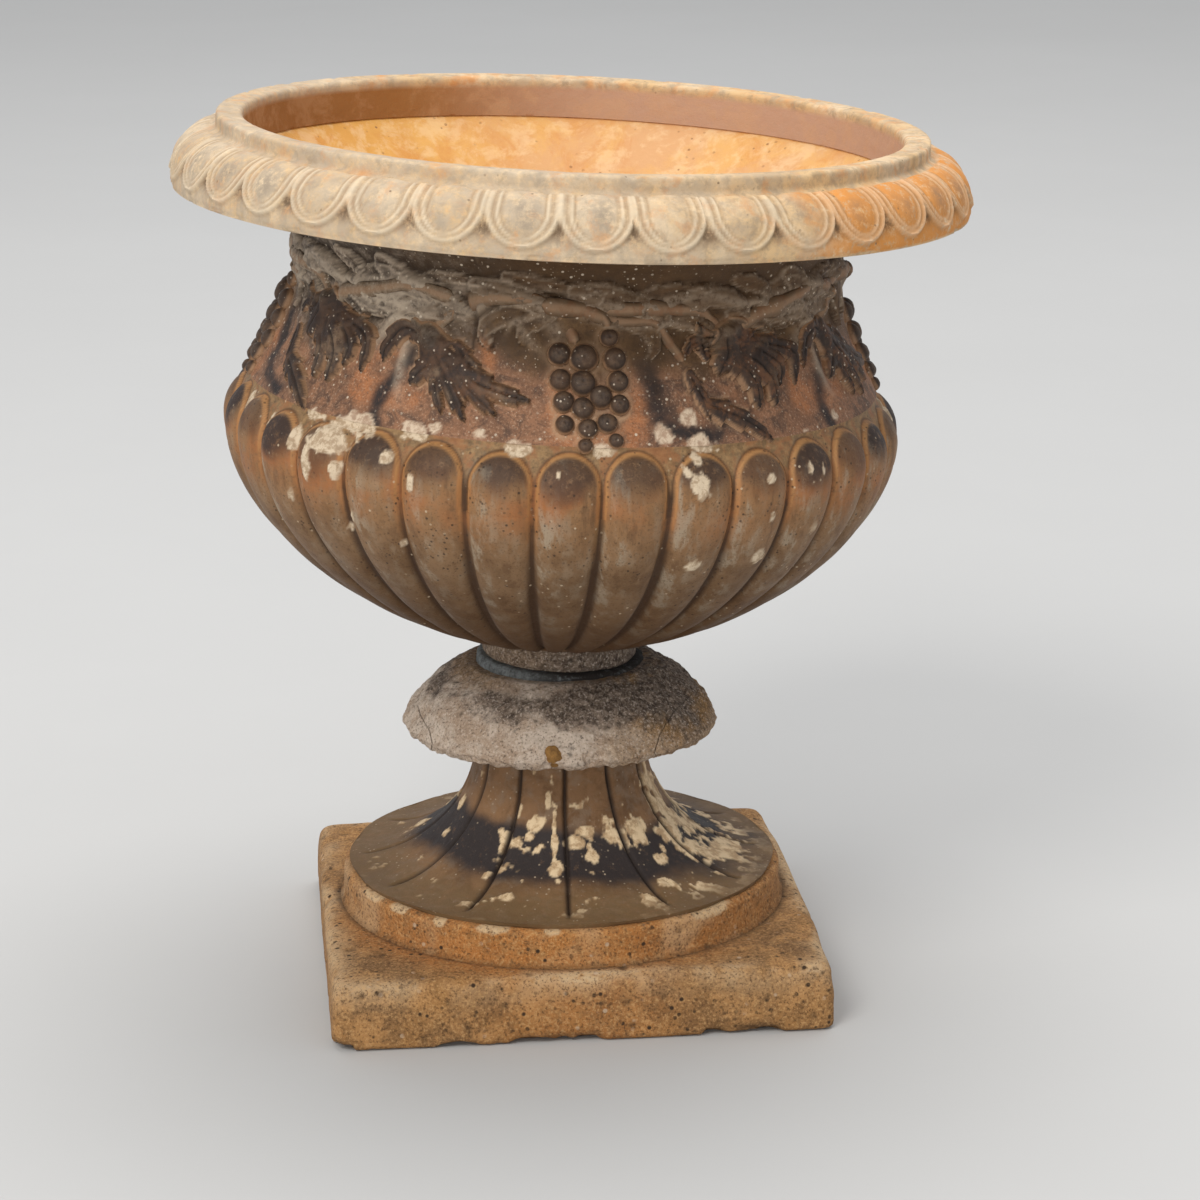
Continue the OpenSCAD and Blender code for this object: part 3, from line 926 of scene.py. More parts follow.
def belly_curve(z, inset=0.0):
    """A Lame curve below and above the belly's widest line."""
    reach = np.where(z < BELLY, BELLY_DROP, BELLY_RISE) - inset
    share = np.clip(1 - (np.abs(z - BELLY) / reach) ** LAME, 0, 1)
    return (BELLY_R - 0.4 - inset) * share ** (1 / LAME)


def frieze_curve(z):
    """Radius of the wall behind the vine, flaring out below the neck."""
    return FRIEZE_R + FRIEZE_FLARE * (np.clip(NECK - z, 0, None) / 100) ** 1.5


def flakes(a, r, z, p):
    """The flakes seen from the front, and the same scatter again round the back."""
    places = [(azimuth + turn, height + FRIEZE, wide, high)
              for turn in (0, 158) for azimuth, height, wide, high in FLAKES]
    return spots(a, r, z, places, p, 0.8, 75)


def gadroons(a, r, z, face):
    """Relief and masks of the gadroons: 32 pillows with arched tops and a groove between."""
    p = place(a, r, z)
    outside = (face >= 0) * step(BOWL_FOOT_R, BOWL_FOOT_R + 8, r)
    pitch = 2 * math.pi / GADROONS
    u = (a - GADROON_PHASE) / pitch
    index = np.floor(u + 0.5)
    u = u - index + 0.012 * np.sin(index * 2.4) + 0.01 * np.sin(index * 5.1 + z / 60)
    half = 0.415 + 0.035 * step(0.2, 0.8, z / BELLY)
    arch = 23
    top = CROWN + 1 + 1.5 * np.sin(index * 1.7)
    rise = np.clip((z - (top - arch)) / arch, 0, None)
    d = np.sqrt((u / half) ** 2 + rise ** 2)
    lobe = np.clip(1 - d ** 2.2, 0, 1) ** 0.55
    height = RELIEF * np.clip(0.5 + 0.5 * z / BELLY, 0, 1)
    fit = 1 - 0.55 * step(CROWN, FRIEZE, z)
    ridge = bump((d - 0.97) * half * pitch * r, 1.2) * step(BELLY - 70, CROWN, z)
    flake = flakes(a, r, z, p)
    crumbs = flake * (0.9 + 0.7 * noise(p, 5, 78))
    moved = ((lobe - 1) * height * fit + 0.8 * ridge + 0.5 * fbm(p, 28, 4, 70)
             + crumbs - 0.45 * pits(p, 9, 0.25, 77) - 0.25 * bump(z - SEAM, 1.2))
    moved = np.where(z > CROWN + 1, (lobe - 1) * height * fit, moved)
    ground = step(1.04, 1.16, d) * step(CROWN - 30, CROWN - 12, z)
    uneven = fbm(p, 30, 3, 73)
    crown = step(CROWN - 40, CROWN - 16, z + 16 * uneven - 12 * np.abs(u / half) ** 2)
    crown = crown * step(1.02, 0.93, d) * (0.75 + 0.25 * np.sin(index * 3.3))
    glow = bump(z - (CROWN - 36), 22) + ridge
    # cavity paints shade in the grooves; edge paints a highlight along each gadroon's rim
    masks = {"cavity": step(0.9, 1.04, d) * (1 - ground), "edge": ridge, "crown": crown,
             "ground": ground, "flake": flake, "glow": glow * step(-0.3, 0.4, uneven + ridge),
             # painted highlight on the left flank of each gadroon, partly lime deposit
             "pale": step(0.1, -0.8, u / half) + 0.35, "tan": step(BELLY - 70, BELLY, z),
             # painted shade: darker towards the bowl's underside
             "low": step(0.85 * BELLY, 0.05 * BELLY, z)}
    masks = {name: mask * outside for name, mask in masks.items()}
    masks["inside"] = 1.0 - (face >= 0)
    return moved * outside, masks


def build_bowl_bottom():
    """The lower pressed half of the bowl, with the gadroons' tails."""
    outer = [(DRAIN_R, 0), (BOWL_FOOT_R - 2, 0), (BOWL_FOOT_R + 1, 2)]
    outer += [(belly_curve(z), z) for z in np.linspace(4, SEAM, 80)
              if belly_curve(z) > BOWL_FOOT_R + 2]
    floor = WALL
    inner = [(belly_curve(SEAM), SEAM)]
    inner += [(belly_curve(z, WALL), z) for z in np.linspace(SEAM, floor + 1, 30)]
    inner += [(DRAIN_R, floor), (DRAIN_R, 0)]
    on_bowl("bowl_bottom", SOOTED, *turned(outer, inner, 2.9, 14, 736, gadroons))


def build_bowl_belly():
    """The upper pressed band of the bowl, with the gadroons' rounded tops."""
    proud = 0.45 * RELIEF
    outer = [(belly_curve(z), z) for z in np.linspace(SEAM, CROWN, 24)]
    outer += [(frieze_curve(FRIEZE) + 1.3 * proud, FRIEZE - 2), (frieze_curve(FRIEZE) + proud, FRIEZE)]
    inner = [(min(belly_curve(z, WALL), frieze_curve(FRIEZE) - WALL + (FRIEZE - z) * 0.6), z)
             for z in np.linspace(FRIEZE, SEAM, 8)]
    inner = [outer[-1]] + inner + [outer[0]]
    on_bowl("bowl_belly", SOOTED, *turned(outer, inner, 1.5, 12, 1216, gadroons, radial=True))


def build_bowl_foot():
    """The pale crumbly ring that the bowl stands on."""
    inner_r = CHANNEL_R + 2
    outer = [(inner_r, FOOT_LOW), (BOWL_FOOT_R - 2, FOOT_LOW), (BOWL_FOOT_R, FOOT_LOW + 3),
             (BOWL_FOOT_R, -4), (BOWL_FOOT_R - 2, 0), (inner_r, 0)]

    def shape(a, r, z, face):
        p = place(a, r, z)
        rough = 1.6 * fbm(p, 11, 4, 80) - 1.4 * pits(p, 8, 0.5, 82)
        moved = rough * step(BOWL_FOOT_R - 12, BOWL_FOOT_R, r) * (face > 0)
        dark = 0.5 + 0.5 * facing(a, 345)
        return np.minimum(moved, 0.2), {"soot": 0.6 + 0.4 * step(0.2, 0.8, dark),
                                        "cavity": step(0.4, 1.6, -moved), "tan": 0.6 + 0 * a}

    points, faces, masks = turned(outer, [(inner_r, 0), (inner_r, FOOT_LOW)], 1.4, 4, 400, shape)
    points[..., 0] += 6
    on_bowl("bowl_foot", CRUMBLY, points, faces, masks)


# ---- vine pattern: one bay of 90 degrees, pressed four times
# Points are (degrees from the middle of the bunch, height above the frieze's foot)

BAY = math.radians(360 / BAYS)
SIDES = ["front", "right", "back", "left"]

# Fingers of the leaves, as (half width, height, points from stalk to tip)
FINGERS = [(13, 6.5, (-33, 64), (-29, 46), (-24, 27)), (14, 6.5, (29, 74), (31, 56), (33, 36)),
           (8.5, 8, (-31.5, 57), (-28, 39), (-23, 11)), (5.5, 6.5, (-31, 50), (-29.4, 30), (-27.5, 14)),
           (8, 7.5, (-29.5, 56), (-23.2, 34), (-17.5, 17)),
           (8.5, 7.5, (-29.5, 54), (-20.7, 36), (-11.5, 28)),
           (7.5, 6, (-30.5, 50), (-33, 42), (-35.2, 31)), (5, 5.5, (-27, 62), (-23, 48), (-18.5, 38)),
           (6, 5, (-32, 58), (-37.8, 69), (-42, 54), (-42.4, 43)),
           (12, 8.5, (27, 73), (26.6, 60), (24.5, 46)), (7, 7.5, (28, 62), (31.8, 40), (32, 20)),
           (7.5, 8, (30, 66), (35.8, 42), (36, 20)), (6.5, 7, (32, 68), (38.8, 50), (38.6, 34)),
           (6, 6, (34, 68), (43, 57), (43.2, 33)), (4, 4.5, (22.5, 60), (21.6, 72), (20.6, 86)),
           (6, 5.5, (21, 27), (27.5, 15), (33.2, -1)), (4.5, 4, (18.5, 48), (20.4, 31), (21.4, 15)),
           (4.5, 4.5, (25, 74), (20, 70), (17.5, 60))]

# Berries, as (degrees, height above the frieze's foot, radius)
BERRIES = [(2.6, 75, 6.8), (-2.2, 60, 10.4), (-6.9, 62, 8.6), (3.6, 59, 8.6), (-2.4, 42.5, 9.6),
           (-6.5, 44, 8.4), (4.2, 44, 8), (0.9, 33, 8.6), (-5.7, 29, 8), (-2.3, 25, 8.4), (4.3, 28, 7.6),
           (-5.3, 14, 7), (-1.4, 11.5, 7.6), (2, 15.5, 7.6), (-1.8, 0.5, 5.6), (3.4, 4, 5.6)]

# Stems, as (radius, points)
STEMS = [(3.4, (-26, 94), (-21, 101), (-15.5, 104), (-9.2, 98), (-5.5, 82), (-4, 69)),
         (3.4, (-11, 100), (-3, 95), (6, 97), (20, 95), (24.5, 86), (28, 75)),
         (2.6, (-3.2, 95), (3.5, 87), (11.2, 86), (14.8, 72), (17.5, 56)),
         (3.6, (28, 76), (35, 87), (43, 94), (52, 103), (62, 98)), (2.2, (-1, 95), (1.5, 88), (2.4, 79)),
         (3.2, (-32, 58), (-33, 70), (-29, 84), (-26, 94))]

# Soft folds of the ground, as (half width, height, points), with negative heights for hollows
FOLDS = [(7, 4.5, (-47, 83), (-36, 89), (-28, 102)),
         (8, 4.5, (-47, 46), (-44, 64), (-38.7, 76), (-33, 66)),
         (9, -4.5, (-56, 84), (-54, 70), (-50, 58)), (8, 3.5, (-60, 98), (-52, 92), (-44, 96)),
         (5, -3, (-22, 88), (-20, 76), (-18.5, 62)), (6, 3, (-16, 86), (-13, 72), (-9, 58)),
         (9, 2.5, (-12, 92), (-8, 80), (-8, 66)), (6, 3, (6, 98), (16, 104), (28, 104)),
         (9, -2, (10, 78), (13, 66), (12, 50)), (9, -3.5, (32, 84), (44, 84), (54, 90)),
         (8, -1.5, (8, 52), (12, 40), (10, 24)), (7, 3.5, (36, 104), (44, 100), (56, 108)),
         (6, 3.5, (51, 77), (51.8, 60), (52, 43), (53, 25), (57, 8)),
         (5, 5, (-6, 92), (4, 84), (14, 86), (24, 96)), (4, 4, (8, 88), (18, 84), (26, 78)),
         (6, 4.5, (-20, 100), (-24, 90), (-30, 78)), (4, 4, (-10, 92), (-16, 84), (-18, 72)),
         (5, 5, (34, 100), (40, 90), (44, 76)), (5, 4.5, (46, 96), (50, 86), (46, 70)),
         (4, 4, (-34, 96), (-42, 90), (-50, 96)), (4, 4.5, (-30, 90), (-36, 80), (-44, 78)),
         (4, 4, (-2, 104), (10, 98), (20, 106)), (4, 4, (22, 108), (32, 98), (42, 104)),
         (4, 4, (-40, 108), (-30, 104), (-18, 112)), (4, 4, (-12, 112), (-4, 106), (6, 112))]

# Leaves pressed low into the upper ground, as (half width, height, points)
SCROLLS = [(9, 6, (-46, 116), (-40, 104), (-31, 98), (-24, 86)),
           (5, 4, (-37, 106), (-30, 112), (-21, 110)),
           (8, 6.5, (-24, 108), (-16, 104), (-9, 94), (-11, 84)),
           (5, 4.5, (-18, 117), (-8, 112), (2, 108)), (9, 6, (-4, 108), (4, 104), (13, 92), (12, 82)),
           (6, 4.5, (9, 104), (16, 110), (26, 112)), (8, 6.5, (15, 100), (24, 104), (31, 98), (33, 84)),
           (6, 5, (30, 116), (37, 108), (39, 96)), (6, 4.5, (38, 104), (46, 108), (54, 102)),
           (8, 6, (42, 98), (48, 90), (45, 76)), (7, 5.5, (-12, 94), (-19, 86), (-22, 75), (-20, 61)),
           (6, 5, (-9, 90), (-14, 80), (-14, 66)), (6, 5, (-52, 100), (-47, 90), (-40, 85), (-33, 88)),
           (5, 4.5, (-53, 88), (-47, 79), (-41, 82)), (6, 4, (4, 92), (10, 82), (12, 70), (10, 58)),
           (6, 4.5, (12, 92), (20, 85), (24, 75), (22, 66)), (6, 5, (36, 92), (43, 84), (51, 85)),
           (5, 4.5, (29, 90), (36, 82), (40, 72)), (6, 5, (-30, 84), (-38, 88), (-45, 82)),
           (5, 4, (0, 104), (-6, 98), (-12, 100))]

# Soot smears and the orange glow of the kiln, as (half width, points)
SMEARS = [(8, (-34, 60), (-38, 40), (-40.5, 18), (-40, 0)), (11, (10, 54), (11, 40), (12, 22)),
          (8, (18, 44), (22, 26), (30, 8)), (7, (-54, 84), (-52, 62)), (7, (14, 10), (22, 4))]
GLOWS = [(11, (-7, 40), (-6, 8), (5, 4), (8, 30)), (6, (-23, 78), (-21, 60), (-20, 46)),
         (5, (30, 62), (33, 50), (34, 34)), (6, (-38, 54), (-46, 44), (-46, 20)),
         (12, (44, 26), (56, 20))]


def smooth_path(points, count):
    """A smooth path through chosen points, by Catmull-Rom."""
    points = np.array(points, float)
    padded = np.concatenate([[2 * points[0] - points[1]], points, [2 * points[-1] - points[-2]]])
    out = []
    for t in np.linspace(0, len(points) - 1.0001, count):
        k = int(t)
        f = t - k
        a, b, c, d = padded[k:k + 4]
        out.append(0.5 * (2 * b + (c - a) * f + (2 * a - 5 * b + 4 * c - d) * f * f
                          + (3 * b - a - 3 * c + d) * f**3))
    return np.array(out)


def along(a, z, points, reach):
    """For points near a pressed line: distance, distance to one side, share along it, and which."""
    line = smooth_path(points, 28)
    up = line[:, 1]
    x = np.radians(line[:, 0]) * frieze_curve(FRIEZE + up)
    far = reach + 4
    middle = math.radians((line[0, 0] + line[-1, 0]) / 2)
    bay = np.round((a - FRONT - middle) / BAY)
    flat_x = (a - FRONT - bay * BAY) * frieze_curve(z)
    flat_up = z - FRIEZE
    near = ((flat_x > x.min() - far) & (flat_x < x.max() + far)
            & (flat_up > up.min() - far) & (flat_up < up.max() + far))
    dx = flat_x[near][:, None] - x
    dz = flat_up[near][:, None] - up
    gap = np.hypot(dx, dz)
    k = gap.argmin(axis=1)
    rows = np.arange(len(k))
    run_x, run_z = np.gradient(x)[k], np.gradient(up)[k]
    side = (dx[rows, k] * run_z - dz[rows, k] * run_x) / np.maximum(np.hypot(run_x, run_z), 1e-9)
    return gap[rows, k], side, k / 27, near


def finger_width(share, wide, bite):
    """Half width of a leaf's finger along its length, toothed and pointed."""
    teeth = 1 + bite * ((share * 3.4) % 1 - 0.5) * (share > 0.2)
    return 1.25 * wide * np.clip(0.6 + 1.6 * share, 0, 1) * np.clip(1 - share, 0, 1) ** 0.5 * teeth


def finger(a, z, points, wide, high, bite):
    """Height of a leaf's finger near it, its distance in half widths, its vein and the points."""
    gap, side, share, near = along(a, z, points, 1.4 * wide + 4)
    width = np.maximum(finger_width(share, wide, bite), 0.4)
    q = gap / width
    vein = bump(side, 0.9) * step(0, 0.1, share)
    body = high * np.sqrt(np.clip(1 - q ** 3, 0, 1)) * (0.65 + 0.35 * np.sin(np.pi * share))
    body = np.where(q < 1, body - 1.5 * vein, -(q - 1) * width * 1.5)
    return body, q, vein, near


def pressed(a, z):
    """How far the frieze's ground stands out, with its masks."""
    p = place(a, frieze_curve(z), z)
    up = (z - FRIEZE) / (NECK - FRIEZE)
    swirl = warped(p, 46, 20, 91) * np.array((1, 1, 1.6))
    crests = ridges(swirl, 40, 2, 95)
    upper = step(0.42, 0.78, up + 0.25 * fbm(p, 40, 3, 97))
    height = 4 * (crests - 0.66) * upper + 0.8 * fbm(p, 16, 4, 99)
    masks = {name: np.zeros(a.shape) for name in ("soot", "glow", "halo", "cavity", "edge")}
    for wide, high, *points in FOLDS:
        gap, side, share, near = along(a, z, points, 2.5 * wide)
        swell = bump(gap, wide) * np.sin(np.pi * np.clip(0.1 + 0.9 * share, 0, 1)) ** 0.5
        height[near] += high * swell
        # painted highlight on the folds' crests, painted shade in their hollows
        masks["cavity" if high < 0 else "edge"][near] += 0.7 * swell ** 3
    for mask, group in (("soot", SMEARS), ("glow", GLOWS)):
        for wide, *points in group:
            gap, _, _, near = along(a, z, points, 2.5 * wide)
            masks[mask][near] += bump(gap, wide)
    for name in ("soot", "glow"):
        masks[name] = step(0.1, 1.1, masks[name] + 0.6 * fbm(swirl, 24, 4, 111))
    for wide, high, *points in SCROLLS:
        body, q, vein, near = finger(a, z, points, 1.2 * wide, 1.3 * high, 0.2)
        height[near] = np.maximum(height[near], 0.3 * height[near] + np.clip(body, 0, None))
        # painted highlight inside each leaf's edge, painted shade round its outline and in its vein
        raise_to(masks["edge"], near, bump(q - 0.8, 0.14))
        raise_to(masks["cavity"], near, bump(q - 1.15, 0.16) + 0.6 * vein * (q < 1))
    for size, *points in STEMS:
        gap, _, _, near = along(a, z, points, 4 * size)
        height[near] += 0.8 * size * bump(gap, 2 * size)
    for wide, high, *points in FINGERS:
        _, q, _, near = finger(a, z, points, 1.3 * wide, high, 0.5)
        raise_to(masks["halo"], near, bump(q - 1.1, 0.12))
    for degrees, height_up, size in BERRIES:
        spot = [(degrees, height_up), (degrees, height_up + 0.1)]
        gap, _, _, near = along(a, z, spot, size + 8)
        rim = bump(gap - (size + 1.4), 2)
        raise_to(masks["halo"], near, rim)
        height[near] += rim
    masks["halo"] = masks["halo"] * (0.3 + 0.7 * step(-0.2, 0.4, fbm(p, 18, 3, 113)))
    masks["upper"] = upper
    # painted shade in the low ground and painted highlight on the high crests of the upper zone
    masks["cavity"] += 0.9 * upper * step(3, -0.5, height)
    masks["edge"] += 0.6 * upper * step(6, 12, height)
    return height * step(0.0, 0.1, up), masks


def on_frieze(a, z, proud):
    """Points standing off the frieze, in the bowl's frame."""
    slope = np.arctan(-1.5 * FRIEZE_FLARE / 100 * np.sqrt(np.clip(NECK - z, 0, None) / 100))
    return place(a, frieze_curve(z) + proud * np.cos(slope), z - proud * np.sin(slope))


def build_frieze():
    """Wall behind the vine, flaring out above the neck to carry the rim."""
    outer = [(frieze_curve(z), z) for z in np.linspace(FRIEZE, NECK, 40)]
    outer += arc((FRIEZE_R + 54, NECK), (54, 49), 180, 96, 16) + [(LIP_R + 4, RIM_LOW)]
    shelf_top = (LIP_IN_R - 1.8, LIP - 34)
    inner = [outer[-1], (LIP_R + 4, RIM_LOW + 12), (LIP_IN_R + 4, RIM_LOW + 12),
             (LIP_IN_R + 4, shelf_top[1]), shelf_top, (FRIEZE_R - 18, NECK + 10)]
    inner += [(frieze_curve(z) - WALL, z) for z in np.linspace(NECK - 4, FRIEZE, 12)] + [outer[0]]

    def shape(a, r, z, face):
        p = place(a, r, z)
        outside = (face >= 0) * 1.0
        up = (z - FRIEZE) / (NECK - FRIEZE)
        height, masks = pressed(a, z)
        flake = flakes(a, r, z, p) * (z < NECK)
        seam = bump(((a - math.radians(246) + BAY / 2) % BAY - BAY / 2) * r, 0.8) * (up > 0.5)
        height = height + flake * (0.9 + 0.7 * noise(p, 5, 78)) - 0.7 * seam
        height = height - 0.6 * pits(p, 8, 0.35, 107) * step(0, 0.1, up)
        # painted shade in the mould seam's groove
        masks["cavity"] = masks["cavity"] + 0.7 * seam
        masks["flake"] = flake
        # painted shadow in the band just beneath the rim
        masks["under"] = step(0.92, 1.1, up)
        masks["brown"] = step(0.1, 0.9, facing(a, 305) + 0.3 * fbm(p, 50, 2, 115))
        masks = {name: mask * outside for name, mask in masks.items()}
        masks["inside"] = 1 - outside
        # painted light inside: paler on the side that faces the key light
        masks["blush"] = step(-0.2, 0.7, facing(a, 30))
        back = 0.9 * fbm(p, 24, 4, 117) * (r > FRIEZE_R - 16) * (r < LIP_IN_R - 4)
        moved = np.where(face >= 0, height * step(RIM_LOW, RIM_LOW - 12, z), back)
        return moved, masks

    on_bowl("frieze_wall", BURNT, *turned(outer, inner, 1.9, 10, 704, shape, radial=True))


def leaf_relief(a, z):
    """Height of the leaves over the ground, falling below it beyond their edges, and masks."""
    p = place(a, frieze_curve(z), z)
    best = np.full(a.shape, -3.0)
    groove = np.zeros(a.shape)
    edge = np.zeros(a.shape)
    for wide, high, *points in FINGERS:
        body, q, vein, near = finger(a, z, points, 1.3 * wide, high, 0.5)
        wins = body > best[near]
        best[near] = np.where(wins, body, best[near])
        groove[near] = np.where(wins, vein, groove[near])
        edge[near] = np.where(wins, step(0.74, 0.94, q), edge[near])
    best = best + np.where(best > 0, 0.7 * fbm(p, 9, 3, 201), 0)
    up = (z - FRIEZE) / (NECK - FRIEZE)
    # cavity paints shade in the veins; edge and worn paint highlights on the rims and raised parts, worn
    # partly wear
    return np.maximum(best, -2.5), {
        "cavity": groove * (best > 0), "edge": edge,
        "upper": step(0.68, 0.98, up + 0.25 * fbm(p, 30, 3, 203)),
        "brown": step(0.1, 0.9, facing(a, 305)),
        "worn": step(0.0, 0.5, fbm(p, 14, 3, 205)) * step(0.3, 1, best / 7)}


def slab(front, back, keep):
    """A closed sheet from the kept cells of a grid: its front, its back and the edge between."""
    rows, cols = front.shape[:2]
    a = np.arange(rows * cols).reshape(rows, cols)
    quads = np.stack([a[:-1, :-1], a[:-1, 1:], a[1:, 1:], a[1:, :-1]], -1)
    top = quads[keep]
    sides = []
    padded = np.pad(keep, 1)
    for (di, dj), (m, n) in {(-1, 0): (0, 1), (0, 1): (1, 2), (1, 0): (2, 3), (0, -1): (3, 0)}.items():
        free = keep & ~padded[1 + di:1 + di + rows - 1, 1 + dj:1 + dj + cols - 1]
        u, v = quads[free][:, m], quads[free][:, n]
        sides.append(np.stack([v, u, u + rows * cols, v + rows * cols], -1))
    faces = np.concatenate([top, top[:, ::-1] + rows * cols] + sides)
    used, index = np.unique(faces, return_inverse=True)
    points = np.concatenate([front.reshape(-1, 3), back.reshape(-1, 3)])[used]
    return points, index.reshape(-1, 4), used % (rows * cols)


def build_leaves():
    """Each bay's leaves: a sheet over the ground, cut along the outline of the fingers."""
    for bay, side in enumerate(SIDES):
        middle = FRONT + bay * BAY
        angle = middle + np.radians(np.arange(-47, 47.01, 0.27))
        height = np.arange(FRIEZE - 5, NECK - 5, 1.0)
        z, a = np.meshgrid(height, angle, indexing="ij")
        relief, masks = leaf_relief(a, z)
        ground, _ = pressed(a, z)
        keep = relief > -1.2
        keep = keep[:-1, :-1] | keep[1:, :-1] | keep[:-1, 1:] | keep[1:, 1:]
        front = on_frieze(a, z, ground + relief)
        back = on_frieze(a, z, ground - 4)
        points, faces, index = slab(front, back, keep)
        masks = {mask: values.ravel()[index] for mask, values in masks.items()}
        on_bowl("vine_leaves_" + side, BLACK, points, faces, masks)


def join_parts(parts):
    """One set of points, faces and masks from several."""
    points, faces, masks, start = [], [], {}, 0
    for part_points, part_faces, part_masks in parts:
        points.append(part_points.reshape(-1, 3))
        faces.append(part_faces + start)
        for name, values in part_masks.items():
            masks.setdefault(name, []).append(np.asarray(values, float).ravel())
        start += points[-1].shape[0]
    return np.concatenate(points), np.concatenate(faces), {k: np.concatenate(v) for k, v in masks.items()}


def ball(a, z, size, seed):
    """A berry: a slightly uneven ball, half sunk in the ground, with a small navel."""
    rings, around = 26, 36
    ground = pressed(np.array([[a]]), np.array([[z]]))[0][0, 0]
    centre = on_frieze(np.float64(a), np.float64(z), ground + 0.1 * size)
    out = on_frieze(np.float64(a), np.float64(z), ground + 1.1 * size) - centre
    out /= np.linalg.norm(out)
    side = np.cross(out, (0, 0, 1))
    side /= np.linalg.norm(side)
    above = np.cross(side, out)
    polar = np.linspace(0.02, math.pi - 0.02, rings)
    t, f = np.meshgrid(polar, np.linspace(0, 2 * math.pi, around, endpoint=False), indexing="ij")
    unit = (np.cos(t)[..., None] * out + (np.sin(t) * np.cos(f))[..., None] * side
            + (np.sin(t) * np.sin(f))[..., None] * above)
    grow = size * (1 + 0.07 * noise(centre + unit * size, 9, seed)) - 0.8 * bump(t, 0.16)
    # painted shade in the navel; worn paints a sheen on the outward face of the berry
    masks = {"cavity": bump(t, 0.16) * 0.6, "edge": step(0.95, 1.35, t), "worn": 0.4 * step(1.2, 0.4, t)}
    return centre + unit * grow[..., None] * 1.06, capped(rings, around), masks


def capped(rings, around):
    """Faces of a tube of rings, each end closed with a fan of quads."""
    faces = [ring_faces(rings, around)]
    for start, flip in ((0, 1), ((rings - 1) * around, -1)):
        k = np.arange(around // 2 - 1)
        fan = np.stack([start + k, start + around - 1 - k, start + around - 2 - k, start + k + 1], -1)
        faces.append(fan[:, ::flip])
    return np.concatenate(faces)


def build_grapes():
    for bay, side in enumerate(SIDES):
        balls = [ball(FRONT + bay * BAY + math.radians(off), FRIEZE + height, size, 300 + 20 * bay + k)
                 for k, (off, height, size) in enumerate(BERRIES)]
        points, faces, masks = join_parts(balls)
        on_bowl("grape_bunch_" + side, BLACK, points, faces, masks)


def tube(path, size, seed):
    """A stem lying half sunk in the frieze, thinning to its end."""
    count, around = 90, 14
    line = smooth_path(path, count)
    a, z = line[:, 0], np.minimum(line[:, 1], NECK + 4)
    ground = pressed(a[None], z[None])[0][0]
    ground = np.convolve(np.pad(ground, 6, "edge"), np.ones(13) / 13, "valid")
    middle = on_frieze(a, z, ground - size * 0.6)
    out = on_frieze(a, z, ground + size * 0.4) - middle
    out /= np.linalg.norm(out, axis=1)[:, None]
    run = np.gradient(middle, axis=0)
    side = np.cross(run, out)
    side /= np.linalg.norm(side, axis=1)[:, None]
    share = np.linspace(0, 1, count)
    ends = step(0.96, 1, share) + step(0.04, 0, share)
    width = size * (1.15 - 0.5 * share + 0.25 * noise(middle, 14, seed + 3)) * (1 - 0.85 * ends)
    f = np.linspace(0, 2 * math.pi, around, endpoint=False)
    p = middle[:, None] + width[:, None, None] * (1.9 * np.cos(f)[None, :, None] * side[:, None]
                                                  + np.sin(f)[None, :, None] * out[:, None])
    p = p + out[:, None] * (2.2 * noise(p, 13, seed))[..., None]
    p = p + (1.2 * fbm(p, 16, 3, seed + 5))[..., None] * side[:, None]
    high = np.sin(f)[None, :] * np.ones((count, 1))
    brown = step(0.1, 0.9, facing(a, 305))[:, None] + 0 * high
    # painted shade on the side against the wall; painted highlight on the outer crest and the outward half
    return p, capped(count, around), {"cavity": step(0.3, -0.2, high), "edge": 0.6 * step(0.75, 1, high),
                                      "worn": 0.5 * step(0, 1, high), "upper": 1 + 0 * high, "brown": brown}


def build_stems():
    for bay, side in enumerate(SIDES):
        parts = []
        for k, (size, *path) in enumerate(STEMS):
            line = [(FRONT + bay * BAY + math.radians(off), FRIEZE + height) for off, height in path]
            parts.append(tube(line, size, 400 + 10 * bay + k))
        points, faces, masks = join_parts(parts)
        on_bowl("vine_stem_" + side, BLACK, points, faces, masks)


def egg_relief(u, v):
    """Height and masks of one egg and its frames. u is across the pitch, v is down the moulding."""

    def contour(half, low):
        fall = np.clip((v - 0.42) / (low - 0.42), 0, None)
        return np.sqrt((u / half) ** 2 + fall ** 2)

    pitch = 54
    egg, inner, outline = contour(0.26, 0.75), contour(0.345, 0.81), contour(0.47, 0.88)
    ridge_in = bump((inner - 1) * 0.345 * pitch, 1.2) * step(0.95, 0.7, v)
    ridge_out = bump((outline - 1) * 0.475 * pitch, 1.6)
    dome = np.clip(1 - egg ** 2.2, 0, 1) ** 0.7
    beyond = step(1.02, 1.12, outline)
    dart = bump(np.abs(u) - 0.5, 0.07 + 0.12 * step(0.5, 1, v)) * bump(v - 0.68, 0.12) * beyond
    height = 2.4 * dome + 1.2 * ridge_in + 1.8 * ridge_out - 1.2 * beyond - 1.4 * dart
    channel = step(1.0, 1.1, egg) * step(0.98, 0.9, outline) * (1 - ridge_in)
    # cavity and the dart mask paint shade in the channels and darts; edge paints a highlight on the frames
    return height, {"cavity": 0.65 * channel + 0.7 * dart + 0.4 * bump(outline - 1.1, 0.05),
                    "edge": ridge_in + ridge_out, "grime": 0.8 * dart, "smudge": dome * step(0.1, 0.5, v)}


